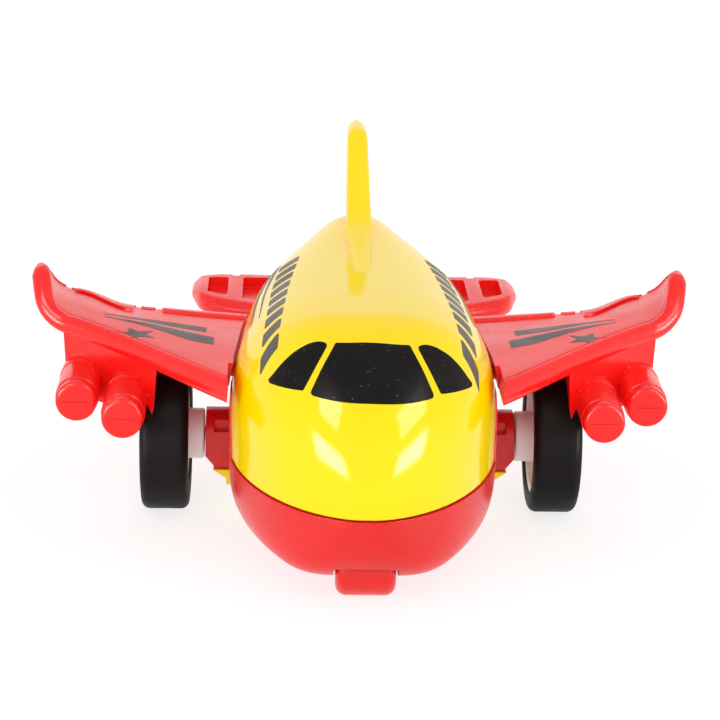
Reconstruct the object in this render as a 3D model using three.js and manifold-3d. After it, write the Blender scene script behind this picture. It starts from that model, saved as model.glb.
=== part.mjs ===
// Push-and-go toy airliner: two moulded fuselage shells, plug-in wings and tailplane, two driven
// wheels with a friction flywheel motor between them, and a free nose roller.
// Millimetres. +Z is up, the nose points to -Y, the floor is Z = 0.

import * as THREE from 'three';
import { mergeVertices } from 'three/addons/utils/BufferGeometryUtils.js';
import Module from 'manifold-3d';

const wasm = await Module();
wasm.setup();

// ---------------------------------------------------------------- driving dimensions

const HALF_LENGTH = 59.5;
const NOSE_Y = -HALF_LENGTH;
const TAIL_Y = 57.5; // end of the fuselage; the tailplane runs on to HALF_LENGTH
const BODY_HALF_WIDTH = 25.3;
const BELLY_Z = 4;
const SPINE_Z = 48.8;
const WALL = 1.6;
const GAP = 0.3;
const CHIN_PROUD = 0.3; // how far the lower shell stands out beyond the upper one

const CHIN_SEAM_Z = 18;
const WING_SEAM_Z = 30;
const SEAM_STEP_Y = [-26.5, -22.5]; // the seam climbs from the chin to the wing level here

const WHEEL = { radius: 15, inner: 33.5, outer: 43, rim: 11.2, boss: 5, bossInner: 30.7 };
const WHEEL_FACETS = 28;
const AXLE_Y = -2.5;
const AXLE_Z = WHEEL.radius;
const AXLE_RADIUS = 1.5;
const AXLE_BOX = { inner: 11, wall: 24, outer: 30.4, half: 8, bottom: 10.4, top: 20.3, chamfer: 2 };

const NOSE_WHEEL = { y: -48.5, radius: 6, halfWidth: 5.5, shoulder: 2, pin: 1 };
const CHEEK = { inner: 5.9, outer: 8, ahead: 12, behind: 8 };

const WING = {
  rootX: 18, cutX: 25.7, cutY: -21, bendX: 57.5, tipAngle: 76, bendRadius: 6, tipRise: 5.2,
  dihedral: 4.5, rootZ: 32.6, thickness: 5, tipThickness: 3.7,
};
const TONGUE = { inner: 13.5, from: -13, to: 15, bottom: 30.15, top: 33.1 };
const POCKET = { skin: 1.3, border: 2.6, spans: [12, 21.5, 28.3, 36] }; // hollow under each wing
const POD = { radius: 3.95, bead: 0.35 };
const INNER_POD = { x: 45.5, z: 25.8, front: -27, back: -6 };
const OUTER_POD = { x: 54.9, z: 26, front: -17.5, back: 2 };
const PYLON = { inner: 39.4, outer: 58.8, bottom: 22, back: 9 };
const WHEEL_ROOM = WHEEL.radius + 1.1; // clearance arch of the wing parts around the tyre
const FLAP_NOTCHES = [{ x: 40.7, width: 1.3 }, { x: 44.8, width: 1.1 }, { x: 59.6, width: 1.1 }];
const FLAP_NOTCH_DEPTH = 1.6;
const TAILPLANE = { halfSpan: 35, bottom: 27.7, top: 31.7, tongueFrom: 34, tongueTo: 54 };
const TAIL_POCKET = { spans: [[12, 24.1], [27.3, 31.6]], border: 4.5, back: 55.5 };
const TAIL_NOTCH = { x: 25.7, half: 0.8, from: 57 };
const FIN_TOP_Z = 66.2;

const MOTOR_ROOM_Y = [-31, 8];
const MOTOR = { half: 10.7, wall: 1.2, pressure: 25 };
const DRIVE = { teeth: 24, module: 0.6 };
const LAY_PINION = { teeth: 10, module: 0.6 };
const LAY_WHEEL = { teeth: 28, module: 0.5 };
const FLY_PINION = { teeth: 10, module: 0.5 };
const GEAR_PLAY = 0.06; // tooth thinning at the pitch circle, and half of it again between centres
const SHAFT_RADIUS = 1;
const FIT = 0.06; // radial clearance of a shaft in its bore
const FLYWHEEL = { radius: 8, from: 0.6, to: 9 };

const SCREW = { head: 2.4, headHeight: 1.6, shank: 0.98, pilot: 1.05, clearance: 1.3, post: 3 };

// ---------------------------------------------------------------- solids and booleans

function solid(geometry) {
  const plain = new THREE.BufferGeometry();
  plain.setAttribute('position', geometry.getAttribute('position').clone());
  if (geometry.index) plain.setIndex(geometry.index.clone());
  const merged = mergeVertices(plain, 1e-4);
  const mesh = new wasm.Mesh({
    numProp: 3,
    vertProperties: new Float32Array(merged.getAttribute('position').array),
    triVerts: new Uint32Array(outward(merged)),
  });
  return new wasm.Manifold(mesh);
}

function outward(geometry) {
  const position = geometry.getAttribute('position');
  const index = Array.from(geometry.index.array);
  const [a, b, c] = [new THREE.Vector3(), new THREE.Vector3(), new THREE.Vector3()];
  const kept = [];
  let volume = 0;
  for (let i = 0; i < index.length; i += 3) {
    const [p, q, r] = index.slice(i, i + 3);
    if (p === q || q === r || r === p) continue;
    a.fromBufferAttribute(position, p);
    b.fromBufferAttribute(position, q);
    c.fromBufferAttribute(position, r);
    volume += a.dot(b.cross(c));
    kept.push([p, q, r]);
  }
  return kept.flatMap(([p, q, r]) => (volume < 0 ? [p, r, q] : [p, q, r]));
}

function geometryOf(shape) {
  const mesh = shape.getMesh();
  const geometry = new THREE.BufferGeometry();
  geometry.setAttribute('position', new THREE.BufferAttribute(new Float32Array(mesh.vertProperties), 3));
  geometry.setIndex(new THREE.BufferAttribute(new Uint32Array(mesh.triVerts), 1));
  geometry.computeVertexNormals();
  return geometry;
}

const join = (first, ...others) => others.reduce((sum, item) => sum.add(item), first);
const cut = (first, ...others) => others.reduce((rest, item) => rest.subtract(item), first);

function box(x, y, z) {
  const shape = new THREE.BoxGeometry(x[1] - x[0], y[1] - y[0], z[1] - z[0]);
  return solid(shape.translate((x[0] + x[1]) / 2, (y[0] + y[1]) / 2, (z[0] + z[1]) / 2));
}

// A closed skin over rings of equally many points, with a flat fan over each end.
function loft(rings) {
  const count = rings[0].length;
  const points = rings.flat();
  const index = [];
  for (let i = 0; i + 1 < rings.length; i += 1) {
    for (let j = 0; j < count; j += 1) {
      const a = i * count + j;
      const b = i * count + ((j + 1) % count);
      index.push(a, b, b + count, a, b + count, a + count);
    }
  }
  for (const [ring, turned] of [[0, true], [rings.length - 1, false]]) {
    const middle = new THREE.Vector3();
    rings[ring].forEach((point) => middle.addScaledVector(point, 1 / count));
    points.push(middle);
    for (let j = 0; j < count; j += 1) {
      const a = ring * count + j;
      const b = ring * count + ((j + 1) % count);
      index.push(...(turned ? [points.length - 1, b, a] : [points.length - 1, a, b]));
    }
  }
  const geometry = new THREE.BufferGeometry().setFromPoints(points);
  geometry.setIndex(index);
  return solid(geometry);
}

// Outlines are drawn as [y, z] pairs and pushed out along X.
const ALONG_X = new THREE.Matrix4().makeBasis(
  new THREE.Vector3(0, 1, 0), new THREE.Vector3(0, 0, 1), new THREE.Vector3(1, 0, 0));

function plate(outline, from, to) {
  const shape = new THREE.Shape(outline.map(([y, z]) => new THREE.Vector2(y, z)));
  const geometry = new THREE.ExtrudeGeometry(shape, { depth: to - from, bevelEnabled: false });
  return solid(geometry.applyMatrix4(ALONG_X).translate(from, 0, 0));
}

// Outlines are drawn as [x, z] pairs and pushed out along Y.
function bar(outline, from, to) {
  const shape = new THREE.Shape(outline.map(([x, z]) => new THREE.Vector2(x, z)));
  const geometry = new THREE.ExtrudeGeometry(shape, { depth: to - from, bevelEnabled: false });
  return solid(geometry.rotateX(Math.PI / 2).translate(0, to, 0));
}

// Turned shapes: the profile is [radius, distance along the axis] pairs, closed on itself or on the axis.
function turned(profile, segments = 24) {
  return new THREE.LatheGeometry(profile.map(([r, t]) => new THREE.Vector2(r, t)), segments);
}

const turnedX = (profile, y, z, segments) =>
  solid(turned(profile, segments).rotateZ(-Math.PI / 2).translate(0, y, z));
const turnedY = (profile, x, z, segments) => solid(turned(profile, segments).translate(x, 0, z));
const turnedZ = (profile, x, y, segments) =>
  solid(turned(profile, segments).rotateX(Math.PI / 2).translate(x, y, 0));

const rodProfile = (radius, from, to) => [[0, from], [radius, from], [radius, to], [0, to]];
const rodX = (radius, from, to, y, z, segments) => turnedX(rodProfile(radius, from, to), y, z, segments);
const rodZ = (radius, from, to, x, y, segments) => turnedZ(rodProfile(radius, from, to), x, y, segments);

// ---------------------------------------------------------------- curves

// Smooth curve through [x, value] points that never overshoots them, and stays level beyond them.
function curveThrough(points) {
  const last = points.length - 1;
  const rise = points.slice(1).map(([x, v], i) => (v - points[i][1]) / (x - points[i][0]));
  const slope = points.map((_, i) => {
    if (i === 0) return rise[0];
    if (i === last) return rise[last - 1];
    const product = rise[i - 1] * rise[i];
    return product <= 0 ? 0 : (2 * product) / (rise[i - 1] + rise[i]);
  });
  return (x) => {
    if (x <= points[0][0]) return points[0][1];
    if (x >= points[last][0]) return points[last][1];
    const i = points.findIndex((point) => point[0] > x) - 1;
    const width = points[i + 1][0] - points[i][0];
    const t = (x - points[i][0]) / width;
    const s = 1 - t;
    return points[i][1] * s * s * (1 + 2 * t) + points[i + 1][1] * t * t * (1 + 2 * s)
      + slope[i] * width * t * s * s - slope[i + 1] * width * t * t * s;
  };
}

const clamp = THREE.MathUtils.clamp;
const mix = THREE.MathUtils.lerp;
const RAD = Math.PI / 180;

// ---------------------------------------------------------------- fuselage form

const sideTaper = curveThrough([[-16, 1], [12.5, 0.92], [42.5, 0.505], [TAIL_Y, 0.17]]);
const spineAt = curveThrough([[-22, SPINE_Z], [17.5, 48.2], [42.5, 48.6], [TAIL_Y, 43.5]]);
const keelAt = curveThrough([[-42, BELLY_Z], [2.5, BELLY_Z + 0.4], [22.5, 10], [42.5, 22], [TAIL_Y, 33]]);
const waistAt = curveThrough([[2.5, 22], [42.5, 33], [TAIL_Y, 38]]);
const SIDE_NOSE = { length: 40, power: 1.85 };
const TOP_NOSE = { length: 27.5, power: 1.78 };
const CHIN_NOSE = { length: 13, power: 2.25 };
const TAIL_ROUND = 4;
const NOSE_TIP = 0.0004; // the share of the length at which the flat on the very tip is measured

function noseRound(y, { length, power }) {
  const t = clamp((y - NOSE_Y) / length, 0, 1);
  return (1 - (1 - t) ** power) ** (1 / power);
}

function tailRound(y) {
  const t = clamp((y - TAIL_Y + TAIL_ROUND) / TAIL_ROUND, 0, 1);
  return Math.sqrt(1 - 0.9 * t * t);
}

// Half width, middle height, and the reach above and below it, with the squareness of each half.
function sectionAt(y) {
  const end = tailRound(y);
  const waist = waistAt(y);
  const slim = clamp((y - 2.5) / 40, 0, 1);
  return {
    width: BODY_HALF_WIDTH * sideTaper(y) * noseRound(y, SIDE_NOSE) * end,
    waist,
    above: (spineAt(y) - waist) * noseRound(y, TOP_NOSE) * end,
    below: (waist - keelAt(y)) * noseRound(y, CHIN_NOSE) * end,
    upperPower: mix(2.9, 2.05, slim),
    lowerPower: mix(5, 2.2, slim),
  };
}

const shrink = (size, inset) => Math.max(size - inset, 0.8 * size);

function fuselageRing(y, source, inset, count) {
  const form = sectionAt(source);
  const points = [];
  for (let i = 0; i < count; i += 1) {
    const angle = (i / count) * 2 * Math.PI;
    const [c, s] = [Math.cos(angle), Math.sin(angle)];
    const power = s >= 0 ? form.upperPower : form.lowerPower;
    const reach = shrink(s >= 0 ? form.above : form.below, inset);
    points.push(new THREE.Vector3(
      shrink(form.width, inset) * Math.sign(c) * Math.abs(c) ** (2 / power), y,
      form.waist + reach * Math.sign(s) * Math.abs(s) ** (2 / power)));
  }
  return points;
}

// The whole fuselage as one solid; a positive inset makes the hollow inside it.
function fuselage(inset, stations, count) {
  const rings = [];
  for (let i = 0; i <= stations; i += 1) {
    const t = (i / stations) ** 1.5;
    const source = NOSE_Y + Math.max(t, NOSE_TIP) * (TAIL_Y - NOSE_Y);
    const y = NOSE_Y + inset + t * (TAIL_Y - NOSE_Y - 2 * inset);
    rings.push(fuselageRing(y, source, inset, count));
  }
  return loft(rings);
}

// Everything above the seam, moved up by `lift`; the seam steps from the chin to the wing level.
function aboveSeam(lift) {
  const far = 80;
  return plate([
    [-far, CHIN_SEAM_Z + lift], [SEAM_STEP_Y[0], CHIN_SEAM_Z + lift], [SEAM_STEP_Y[1], WING_SEAM_Z + lift],
    [far, WING_SEAM_Z + lift], [far, far], [-far, far],
  ], -far, far);
}

const OUTER = fuselage(0, 16, 32);
const PROUD = fuselage(-CHIN_PROUD, 16, 32);
const HOLLOW = fuselage(WALL, 10, 20);
const AROUND = fuselage(-GAP - CHIN_PROUD, 16, 32);
const WITHIN = fuselage(WALL / 2, 16, 32); // inner parts reach into the wall as far as this

// ---------------------------------------------------------------- screws and posts

const WING_SCREW = { x: 18, y: 9.6 };
const TAIL_SCREW_Y = 41;

// Each body screw goes up through a chassis boss into a post that hangs from the upper shell.
const BODY_SCREWS = [
  { name: 'body_screw_front_left', x: -15, y: -40, seat: 8, joint: 14 },
  { name: 'body_screw_front_right', x: 15, y: -40, seat: 8, joint: 14 },
  { name: 'body_screw_wing_left', x: -WING_SCREW.x, y: WING_SCREW.y, seat: 10, joint: 16 },
  { name: 'body_screw_wing_right', x: WING_SCREW.x, y: WING_SCREW.y, seat: 10, joint: 16 },
  { name: 'body_screw_tail', x: 0, y: TAIL_SCREW_Y, seat: 24.5, joint: 28.2 },
];
const GRIP = 8; // how deep a body screw bites into its post
const COVER_SCREWS = [
  { name: 'cover_screw_left', x: -17.5, y: AXLE_Y + 4.6, seat: 5.8, tip: 15 },
  { name: 'cover_screw_right', x: 17.5, y: AXLE_Y + 4.6, seat: 5.8, tip: 15 },
];

function postFor({ x, y, joint }) {
  const post = rodZ(SCREW.post, joint + GAP / 2, SPINE_Z, x, y, 14).intersect(WITHIN);
  return cut(post, rodZ(SCREW.pilot, joint - 1, joint + GRIP + 1, x, y, 10));
}

function bossFor({ x, y, joint }) {
  const boss = rodZ(SCREW.post + 0.6, 0, joint - GAP / 2, x, y, 14);
  return boss.intersect(WITHIN);
}

function screwHole({ x, y, seat, joint }) {
  return join(
    rodZ(SCREW.head + 0.3, -1, seat, x, y, 14),
    rodZ(SCREW.clearance, -1, joint + 1, x, y, 10));
}

// A pan-head screw, its head facing down.
function screwUp({ x, y, seat }, tip) {
  const under = seat - 0.1;
  return turnedZ([
    [0, under - SCREW.headHeight], [SCREW.head * 0.8, under - SCREW.headHeight],
    [SCREW.head, under - SCREW.headHeight * 0.55], [SCREW.head, under], [SCREW.shank, under],
    [SCREW.shank, tip - 1], [0, tip],
  ], x, y, 10);
}

// ---------------------------------------------------------------- fin

const finLeading = curveThrough([[44, -8], [48, -5], [50.6, 21], [52.2, 27], [FIN_TOP_Z - 2, 46],
  [FIN_TOP_Z, 49]]);
const finTrailing = curveThrough([[44, 55.5], [52, 57.3], [FIN_TOP_Z - 2, 59.2], [FIN_TOP_Z, 58]]);

function finRing(z, inset) {
  const lead = finLeading(z) + inset;
  const trail = finTrailing(z) - inset;
  const crown = Math.sqrt(clamp((FIN_TOP_Z - inset - z) / 1.6, 0.04, 1));
  const thick = (y) => {
    const wedge = mix(1.25, 2.6, clamp((y + 4) / 24, 0, 1));
    return (Math.min(wedge, mix(2.6, 2.05, clamp((z - 50) / 16, 0, 1))) - inset * 0.85) * crown;
  };
  const side = [[lead, 0.25], [lead + 0.7, 0.75], [lead + 2, 1], [mix(lead, trail, 0.45), 1],
    [mix(lead, trail, 0.8), 0.95], [trail - 1, 0.75], [trail, 0.3]];
  const right = side.map(([y, k]) => new THREE.Vector3(thick(y) * k, y, z));
  const left = side.map(([y, k]) => new THREE.Vector3(-thick(y) * k, y, z)).reverse();
  return [...right, ...left];
}

function fin(inset) {
  const levels = [44, 48, 49, 50, 50.6, 51.4, 52.2, 55, 60, 63, 64.4, 65.3, 65.8];
  const low = inset > 0 ? 40 : 44;
  const rings = levels.filter((z) => z < FIN_TOP_Z - 2 * inset).map((z) => finRing(z, inset));
  if (inset > 0) rings.unshift(finRing(44, inset).map((point) => point.clone().setZ(low)));
  return loft(rings);
}

// ---------------------------------------------------------------- shells

function wingSlot(side) {
  const x = side > 0 ? [TONGUE.inner - 2, 30] : [-30, -TONGUE.inner + 2];
  return box(x, [TONGUE.from - GAP, TONGUE.to + GAP], [WING_SEAM_Z - 1, TONGUE.top + GAP]);
}

const tailSlot = () => box([-30, 30], [TAILPLANE.tongueFrom - GAP, TAILPLANE.tongueTo + GAP],
  [TAILPLANE.bottom + 0.6 - GAP, TAILPLANE.top - 0.6 + GAP]);

function upperShell() {
  const skin = cut(join(OUTER, fin(0)), HOLLOW, fin(1.3).subtract(box([-9, 9], [-9, 24], [0, 80])));
  const shell = cut(skin.intersect(aboveSeam(GAP / 2)), wingSlot(1), wingSlot(-1), tailSlot());
  return join(shell, ...BODY_SCREWS.map(postFor));
}

// Bearing block of the driven axle: it starts beside the motor and ends outside the body side. The
// cover's bay and the motor's room are cut out of its underside and inner end.
function axleBox(side) {
  const { inner, wall, outer, bottom, top, chamfer, half } = AXLE_BOX;
  const reach = (a, b) => (side > 0 ? [a, b] : [-b, -a]);
  const inside = box(reach(inner - 1, wall), [AXLE_Y - half, AXLE_Y + half], [bottom - 1, top]);
  const outline = [[wall - 1, bottom - 1], [outer - chamfer - 1, bottom - 1], [outer, bottom + chamfer],
    [outer, top], [wall - 1, top]];
  const outside = bar(outline.map(([x, z]) => [side * x, z]), AXLE_Y - half, AXLE_Y + half);
  return join(inside, outside.intersect(plate(archOutline(), ...reach(wall - 1, outer))));
}

// Seen from the side the block's outer end is an arch over the axle on a wider foot.
function archOutline() {
  const { half, bottom, top } = AXLE_BOX;
  const radius = top - AXLE_Z;
  const arch = [0, 30, 60, 90, 120, 150, 180].map((angle) => [
    AXLE_Y + radius * Math.cos(angle * RAD), AXLE_Z + radius * Math.sin(angle * RAD)]);
  return [[AXLE_Y - half, bottom - 1], [AXLE_Y + half, bottom - 1], ...arch];
}

// The axle is laid into this slot from below, and the cover's tongue closes it.
function axleSlot() {
  const width = AXLE_RADIUS + 0.1;
  return join(
    rodX(width, -35, 35, AXLE_Y, AXLE_Z),
    box([-35, 35], [AXLE_Y - width, AXLE_Y + width], [0, AXLE_Z]));
}

const noseBay = () => box([-CHEEK.inner, CHEEK.inner],
  [NOSE_WHEEL.y - NOSE_WHEEL.radius - 0.6, NOSE_WHEEL.y + NOSE_WHEEL.radius + 0.6],
  [-1, 2 * NOSE_WHEEL.radius + 1.2]);

// Two cheeks carry the nose wheel's pin and a roof closes the bay above it.
function noseCheeks() {
  const top = 2 * NOSE_WHEEL.radius + 2.6;
  const along = [NOSE_WHEEL.y - CHEEK.ahead, NOSE_WHEEL.y + CHEEK.behind];
  return box([-CHEEK.outer, CHEEK.outer], along, [0, top]).intersect(WITHIN);
}

function lowerChassis() {
  const below = cut(PROUD, aboveSeam(-GAP / 2));
  const skin = cut(below, HOLLOW);
  const whole = join(skin, noseCheeks(), axleBox(1), axleBox(-1), ...BODY_SCREWS.map(bossFor));
  const { outer, half, bottom } = AXLE_BOX;
  const coverBay = box([-outer - 1, outer + 1], [AXLE_Y - half - GAP, AXLE_Y + half + GAP], [0, bottom]);
  const pinReach = CHEEK.outer + 1;
  const pin = rodX(NOSE_WHEEL.pin + FIT, -pinReach, pinReach, NOSE_WHEEL.y, NOSE_WHEEL.radius, 16);
  const pilots = COVER_SCREWS.map(({ x, y, tip }) => rodZ(SCREW.pilot, 0, tip + 1, x, y, 10));
  const motorRoom = box([-AXLE_BOX.inner, AXLE_BOX.inner], MOTOR_ROOM_Y, [BELLY_Z + WALL, 40]);
  return cut(whole, coverBay, noseBay(), pin, axleSlot(), tailSlot(), motorRoom, ...pilots,
    ...BODY_SCREWS.map(screwHole));
}

// Flat underside plate: thin under the motor, thick under the axle boxes, with a tongue in each slot.
function axleCover() {
  const { outer, half, bottom } = AXLE_BOX;
  const top = bottom - GAP;
  const low = BELLY_Z - CHIN_PROUD;
  const thick = low + 1.4;
  const shoulder = 13;
  const right = [[shoulder, thick], [shoulder, top], [outer - 1.6, top], [outer - 4.8, top - 2.2],
    [outer - 8, low]];
  const left = right.map(([x, z]) => [-x, z]).reverse();
  const width = AXLE_RADIUS - 0.2;
  const rib = (side) => box(
    side > 0 ? [shoulder + 1, outer - 4] : [4 - outer, -shoulder - 1],
    [AXLE_Y - width, AXLE_Y + width], [low + 1, AXLE_Z - AXLE_RADIUS - GAP]);
  const holes = COVER_SCREWS.flatMap(({ x, y, seat }) => [
    rodZ(SCREW.head + 0.2, 0, seat, x, y, 14), rodZ(SCREW.clearance, 0, 12, x, y, 10)]);
  return cut(join(bar([...right, ...left], AXLE_Y - half, AXLE_Y + half), rib(1), rib(-1)), ...holes);
}

// ---------------------------------------------------------------- wings

// The wing's middle surface seen from the front: straight, then bent up into the winglet.
function wingPath(s) {
  const rise = WING.dihedral * RAD;
  const straight = (WING.bendX - WING.rootX) / Math.cos(rise);
  const bend = (WING.tipAngle - WING.dihedral) * RAD * WING.bendRadius;
  const flat = Math.min(s, straight);
  const angle = rise + clamp((s - straight) / WING.bendRadius, 0, bend / WING.bendRadius);
  const end = Math.max(s - straight - bend, 0);
  return {
    x: WING.rootX + flat * Math.cos(rise) + WING.bendRadius * (Math.sin(angle) - Math.sin(rise))
      + end * Math.cos(angle),
    z: WING.rootZ + flat * Math.sin(rise) + WING.bendRadius * (Math.cos(rise) - Math.cos(angle))
      + end * Math.sin(angle),
    angle,
    length: straight + bend + WING.tipRise,
  };
}

const WING_LENGTH = wingPath(0).length;
const wingLeading = curveThrough([[0, -41.6], [9, -32.2], [40, 0.3], [WING_LENGTH - 5, 4.5],
  [WING_LENGTH - 1, 9], [WING_LENGTH, 11]]);
const wingTrailing = curveThrough([[0, 18.6], [21.5, 18], [28.3, 18.4], [40, 27.2], [42, 27],
  [45.5, 24.6], [49, 20], [WING_LENGTH, 14]]);

function wingRing(s, mirror) {
  const { x, z, angle } = wingPath(s);
  const tip = Math.sqrt(clamp((WING_LENGTH - s + 0.2) / 1.6, 0, 1));
  const half = (mix(WING.thickness, WING.tipThickness, clamp(s / 44, 0, 1)) / 2) * tip;
  const [lead, trail] = [wingLeading(s), wingTrailing(s)];
  const back = 0.55 * half;
  const outline = [];
  for (const step of [-90, -50, 0, 50, 90]) {
    outline.push([lead + half * (1 - Math.cos(step * RAD)), half * Math.sin(step * RAD)]);
  }
  outline.push([mix(lead, trail, 0.5), half]);
  for (const step of [90, 0, -90]) {
    outline.push([trail - back * (1 - Math.cos(step * RAD)), back * Math.sin(step * RAD) - 0.2 * half]);
  }
  outline.push([mix(lead, trail, 0.5), -half]);
  return outline.map(([y, h]) =>
    new THREE.Vector3(mirror * (x - h * Math.sin(angle)), y, z + h * Math.cos(angle)));
}

function wingPanel(mirror) {
  const stations = [0, 9.5, 18, 23, 28.3, 32, 36, 39.6, 41.4, 43.3, 45.2, 47.1, 49, WING_LENGTH - 1.5,
    WING_LENGTH - 0.2];
  return loft(stations.map((s) => wingRing(s, mirror)));
}

// The moulding is hollow from below: this is what is taken out under its top skin.
function wingPocket(mirror) {
  const { skin, border, spans } = POCKET;
  return loft(spans.map((s) => {
    const { x, z, angle } = wingPath(s);
    const ceiling = WING.tipThickness / 2 - skin;
    const corners = [[wingLeading(s) + border, -4], [wingTrailing(s) - border, -4],
      [wingTrailing(s) - border, ceiling], [wingLeading(s) + border, ceiling]];
    return corners.map(([y, h]) =>
      new THREE.Vector3(mirror * (x - h * Math.sin(angle)), y, z + h * Math.cos(angle)));
  }));
}

// A jet pod: a round-edged drum with a collar behind its mouth.
function pod({ x, z, front, back }, mirror) {
  const { radius, bead } = POD;
  return turnedY([[0, front], [radius - 0.8, front], [radius, front + 0.8], [radius, front + 3.2],
    [radius + bead, front + 3.6], [radius + bead, back], [0, back]], mirror * x, z, 16);
}

// The block that hangs both pods under the wing. Its front follows the leading edge, and beside the
// wheel it is only a thin wall ahead of the tyre.
function pylon(mirror) {
  const { inner, outer, bottom, back } = PYLON;
  const level = (zAt, slope) => {
    const near = inner + slope;
    const far = outer - slope;
    const frontAt = (x) => wingLeading(x - WING.rootX) + 0.8;
    const corners = [[near, frontAt(near)], [far, frontAt(far)], [far, back], [near, back]];
    return corners.map(([x, y]) => new THREE.Vector3(mirror * x, y, zAt(x)));
  };
  const insideWing = (x) => wingPath(x - WING.rootX).z;
  return loft([level(() => bottom, 1.8), level(() => bottom + 3, 0.6), level(insideWing, 0)]);
}

function wing(mirror) {
  const reach = (a, b) => (mirror > 0 ? [a, b] : [-b, -a]);
  const pods = join(pod(INNER_POD, mirror), pod(OUTER_POD, mirror));
  const notches = FLAP_NOTCHES.map(({ x, width }) => {
    const from = wingTrailing(x - WING.rootX) - FLAP_NOTCH_DEPTH;
    return box(reach(x - width / 2, x + width / 2), [from, HALF_LENGTH], [0, HALF_LENGTH]);
  });
  const panel = cut(wingPanel(mirror), AROUND, wingPocket(mirror),
    box(reach(0, WING.cutX), [-60, WING.cutY], [0, 60]));
  const tongue = box(reach(TONGUE.inner, 28), [TONGUE.from, TONGUE.to], [TONGUE.bottom, TONGUE.top]);
  const hole = rodZ(SCREW.post + GAP, 20, 50, mirror * WING_SCREW.x, WING_SCREW.y, 14);
  const wheelRoom = rodX(WHEEL_ROOM, ...reach(WHEEL.bossInner, WHEEL.outer + 1.2), AXLE_Y, AXLE_Z, 40);
  return cut(join(panel, tongue, cut(join(pylon(mirror), pods), wheelRoom)), ...notches, hole);
}

// ---------------------------------------------------------------- tailplane

const tailLeading = curveThrough([[0, 22], [12, 27.5], [30, 37], [33, 40.5], [TAILPLANE.halfSpan, 47.5]]);
const tailTrailing = curveThrough([[0, 58.5], [28, HALF_LENGTH], [33, 58], [TAILPLANE.halfSpan, 54]]);

function tailRing(x) {
  const middle = (TAILPLANE.bottom + TAILPLANE.top) / 2;
  const span = Math.abs(x);
  const half = ((TAILPLANE.top - TAILPLANE.bottom) / 2)
    * Math.sqrt(clamp((TAILPLANE.halfSpan + 0.1 - span) / 2, 0.05, 1));
  const [lead, trail] = [tailLeading(span), tailTrailing(span)];
  const outline = [];
  for (const step of [-90, -45, 0, 45, 90]) {
    outline.push([lead + half * (1 - Math.cos(step * RAD)), half * Math.sin(step * RAD)]);
  }
  for (const step of [90, 0, -90]) {
    outline.push([trail - 0.8 * half * (1 - Math.cos(step * RAD)), 0.8 * half * Math.sin(step * RAD)]);
  }
  return outline.map(([y, h]) => new THREE.Vector3(x, y, middle + h));
}

// Two sunk panels in each half of the tailplane's top, with a rib between them.
function tailPockets() {
  const floor = TAILPLANE.bottom + 1.4;
  return TAIL_POCKET.spans.flatMap(([near, far]) => [1, -1].map((side) => {
    const front = (x) => tailLeading(x) + TAIL_POCKET.border;
    const corners = [[near, front(near)], [far, front(far)], [far, TAIL_POCKET.back], [near, TAIL_POCKET.back]];
    const ring = (z) => corners.map(([x, y]) => new THREE.Vector3(side * x, y, z));
    return loft([ring(floor), ring(TAILPLANE.top + 5)]);
  }));
}

function tailplane() {
  const side = [12, 21, 28, 31, 33, 34.3, TAILPLANE.halfSpan];
  const stations = [...side.map((x) => -x).reverse(), 0, ...side];
  const middle = box([-16, 16], [TAILPLANE.tongueFrom, TAILPLANE.tongueTo],
    [TAILPLANE.bottom + 0.6, TAILPLANE.top - 0.6]);
  const notch = (side) => box([side * TAIL_NOTCH.x - TAIL_NOTCH.half, side * TAIL_NOTCH.x + TAIL_NOTCH.half],
    [TAIL_NOTCH.from, TAIL_Y + 10], [20, 40]);
  return cut(join(cut(loft(stations.map(tailRing)), AROUND, ...tailPockets()), middle), notch(1), notch(-1),
    rodZ(SCREW.post + GAP, 20, 40, 0, TAIL_SCREW_Y, 14));
}

// ---------------------------------------------------------------- wheels

function mirrorX(profile, side) {
  return profile.map(([r, x]) => [r, side * x]);
}

function tyre(side) {
  const { radius, inner, outer, rim } = WHEEL;
  const half = [[rim + 0.05, 0.4], [rim + 1.3, 0], [radius - 1.5, 0.1], [radius - 0.4, 0.7], [radius, 2]];
  const profile = [...half.map(([r, x]) => [r, inner + x]), ...half.map(([r, x]) => [r, outer - x]).reverse(),
    [rim + 0.05, inner + 0.4]];
  return turnedX(mirrorX(profile, side), AXLE_Y, AXLE_Z, WHEEL_FACETS);
}

// White wheel: a rim, a recessed disc and a long boss that reaches the axle box.
function wheelCore(side) {
  const { inner, outer, rim, boss, bossInner } = WHEEL;
  const edge = rim - 0.1;
  const profile = [[0, bossInner], [boss, bossInner], [boss, inner + 2.4], [edge - 1.4, inner + 2.4],
    [edge - 1.4, inner + 0.6], [edge, inner + 0.6], [edge, outer - 0.5], [edge - 1.4, outer - 0.5],
    [edge - 2.2, outer - 2.6], [4.6, outer - 2.6], [3.6, outer - 0.9], [0, outer - 0.7]];
  const body = turnedX(mirrorX(profile, side), AXLE_Y, AXLE_Z, WHEEL_FACETS);
  const reach = [bossInner - 1, 41.2].map((x) => side * x);
  return cut(body, rodX(AXLE_RADIUS + FIT, Math.min(...reach), Math.max(...reach), AXLE_Y, AXLE_Z));
}

function noseWheel() {
  const { y, radius, halfWidth, shoulder, pin } = NOSE_WHEEL;
  const side = [90, 60, 30, 0].map((step) => [
    radius - shoulder + shoulder * Math.cos(step * RAD),
    halfWidth - shoulder + shoulder * Math.sin(step * RAD),
  ]);
  const profile = [[pin + 0.1, -halfWidth], ...side.map(([r, x]) => [r, -x]), ...side.reverse(),
    [pin + 0.1, halfWidth], [pin + 0.1, -halfWidth]];
  return turnedX(profile, y, radius, 20);
}

// ---------------------------------------------------------------- motor

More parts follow.
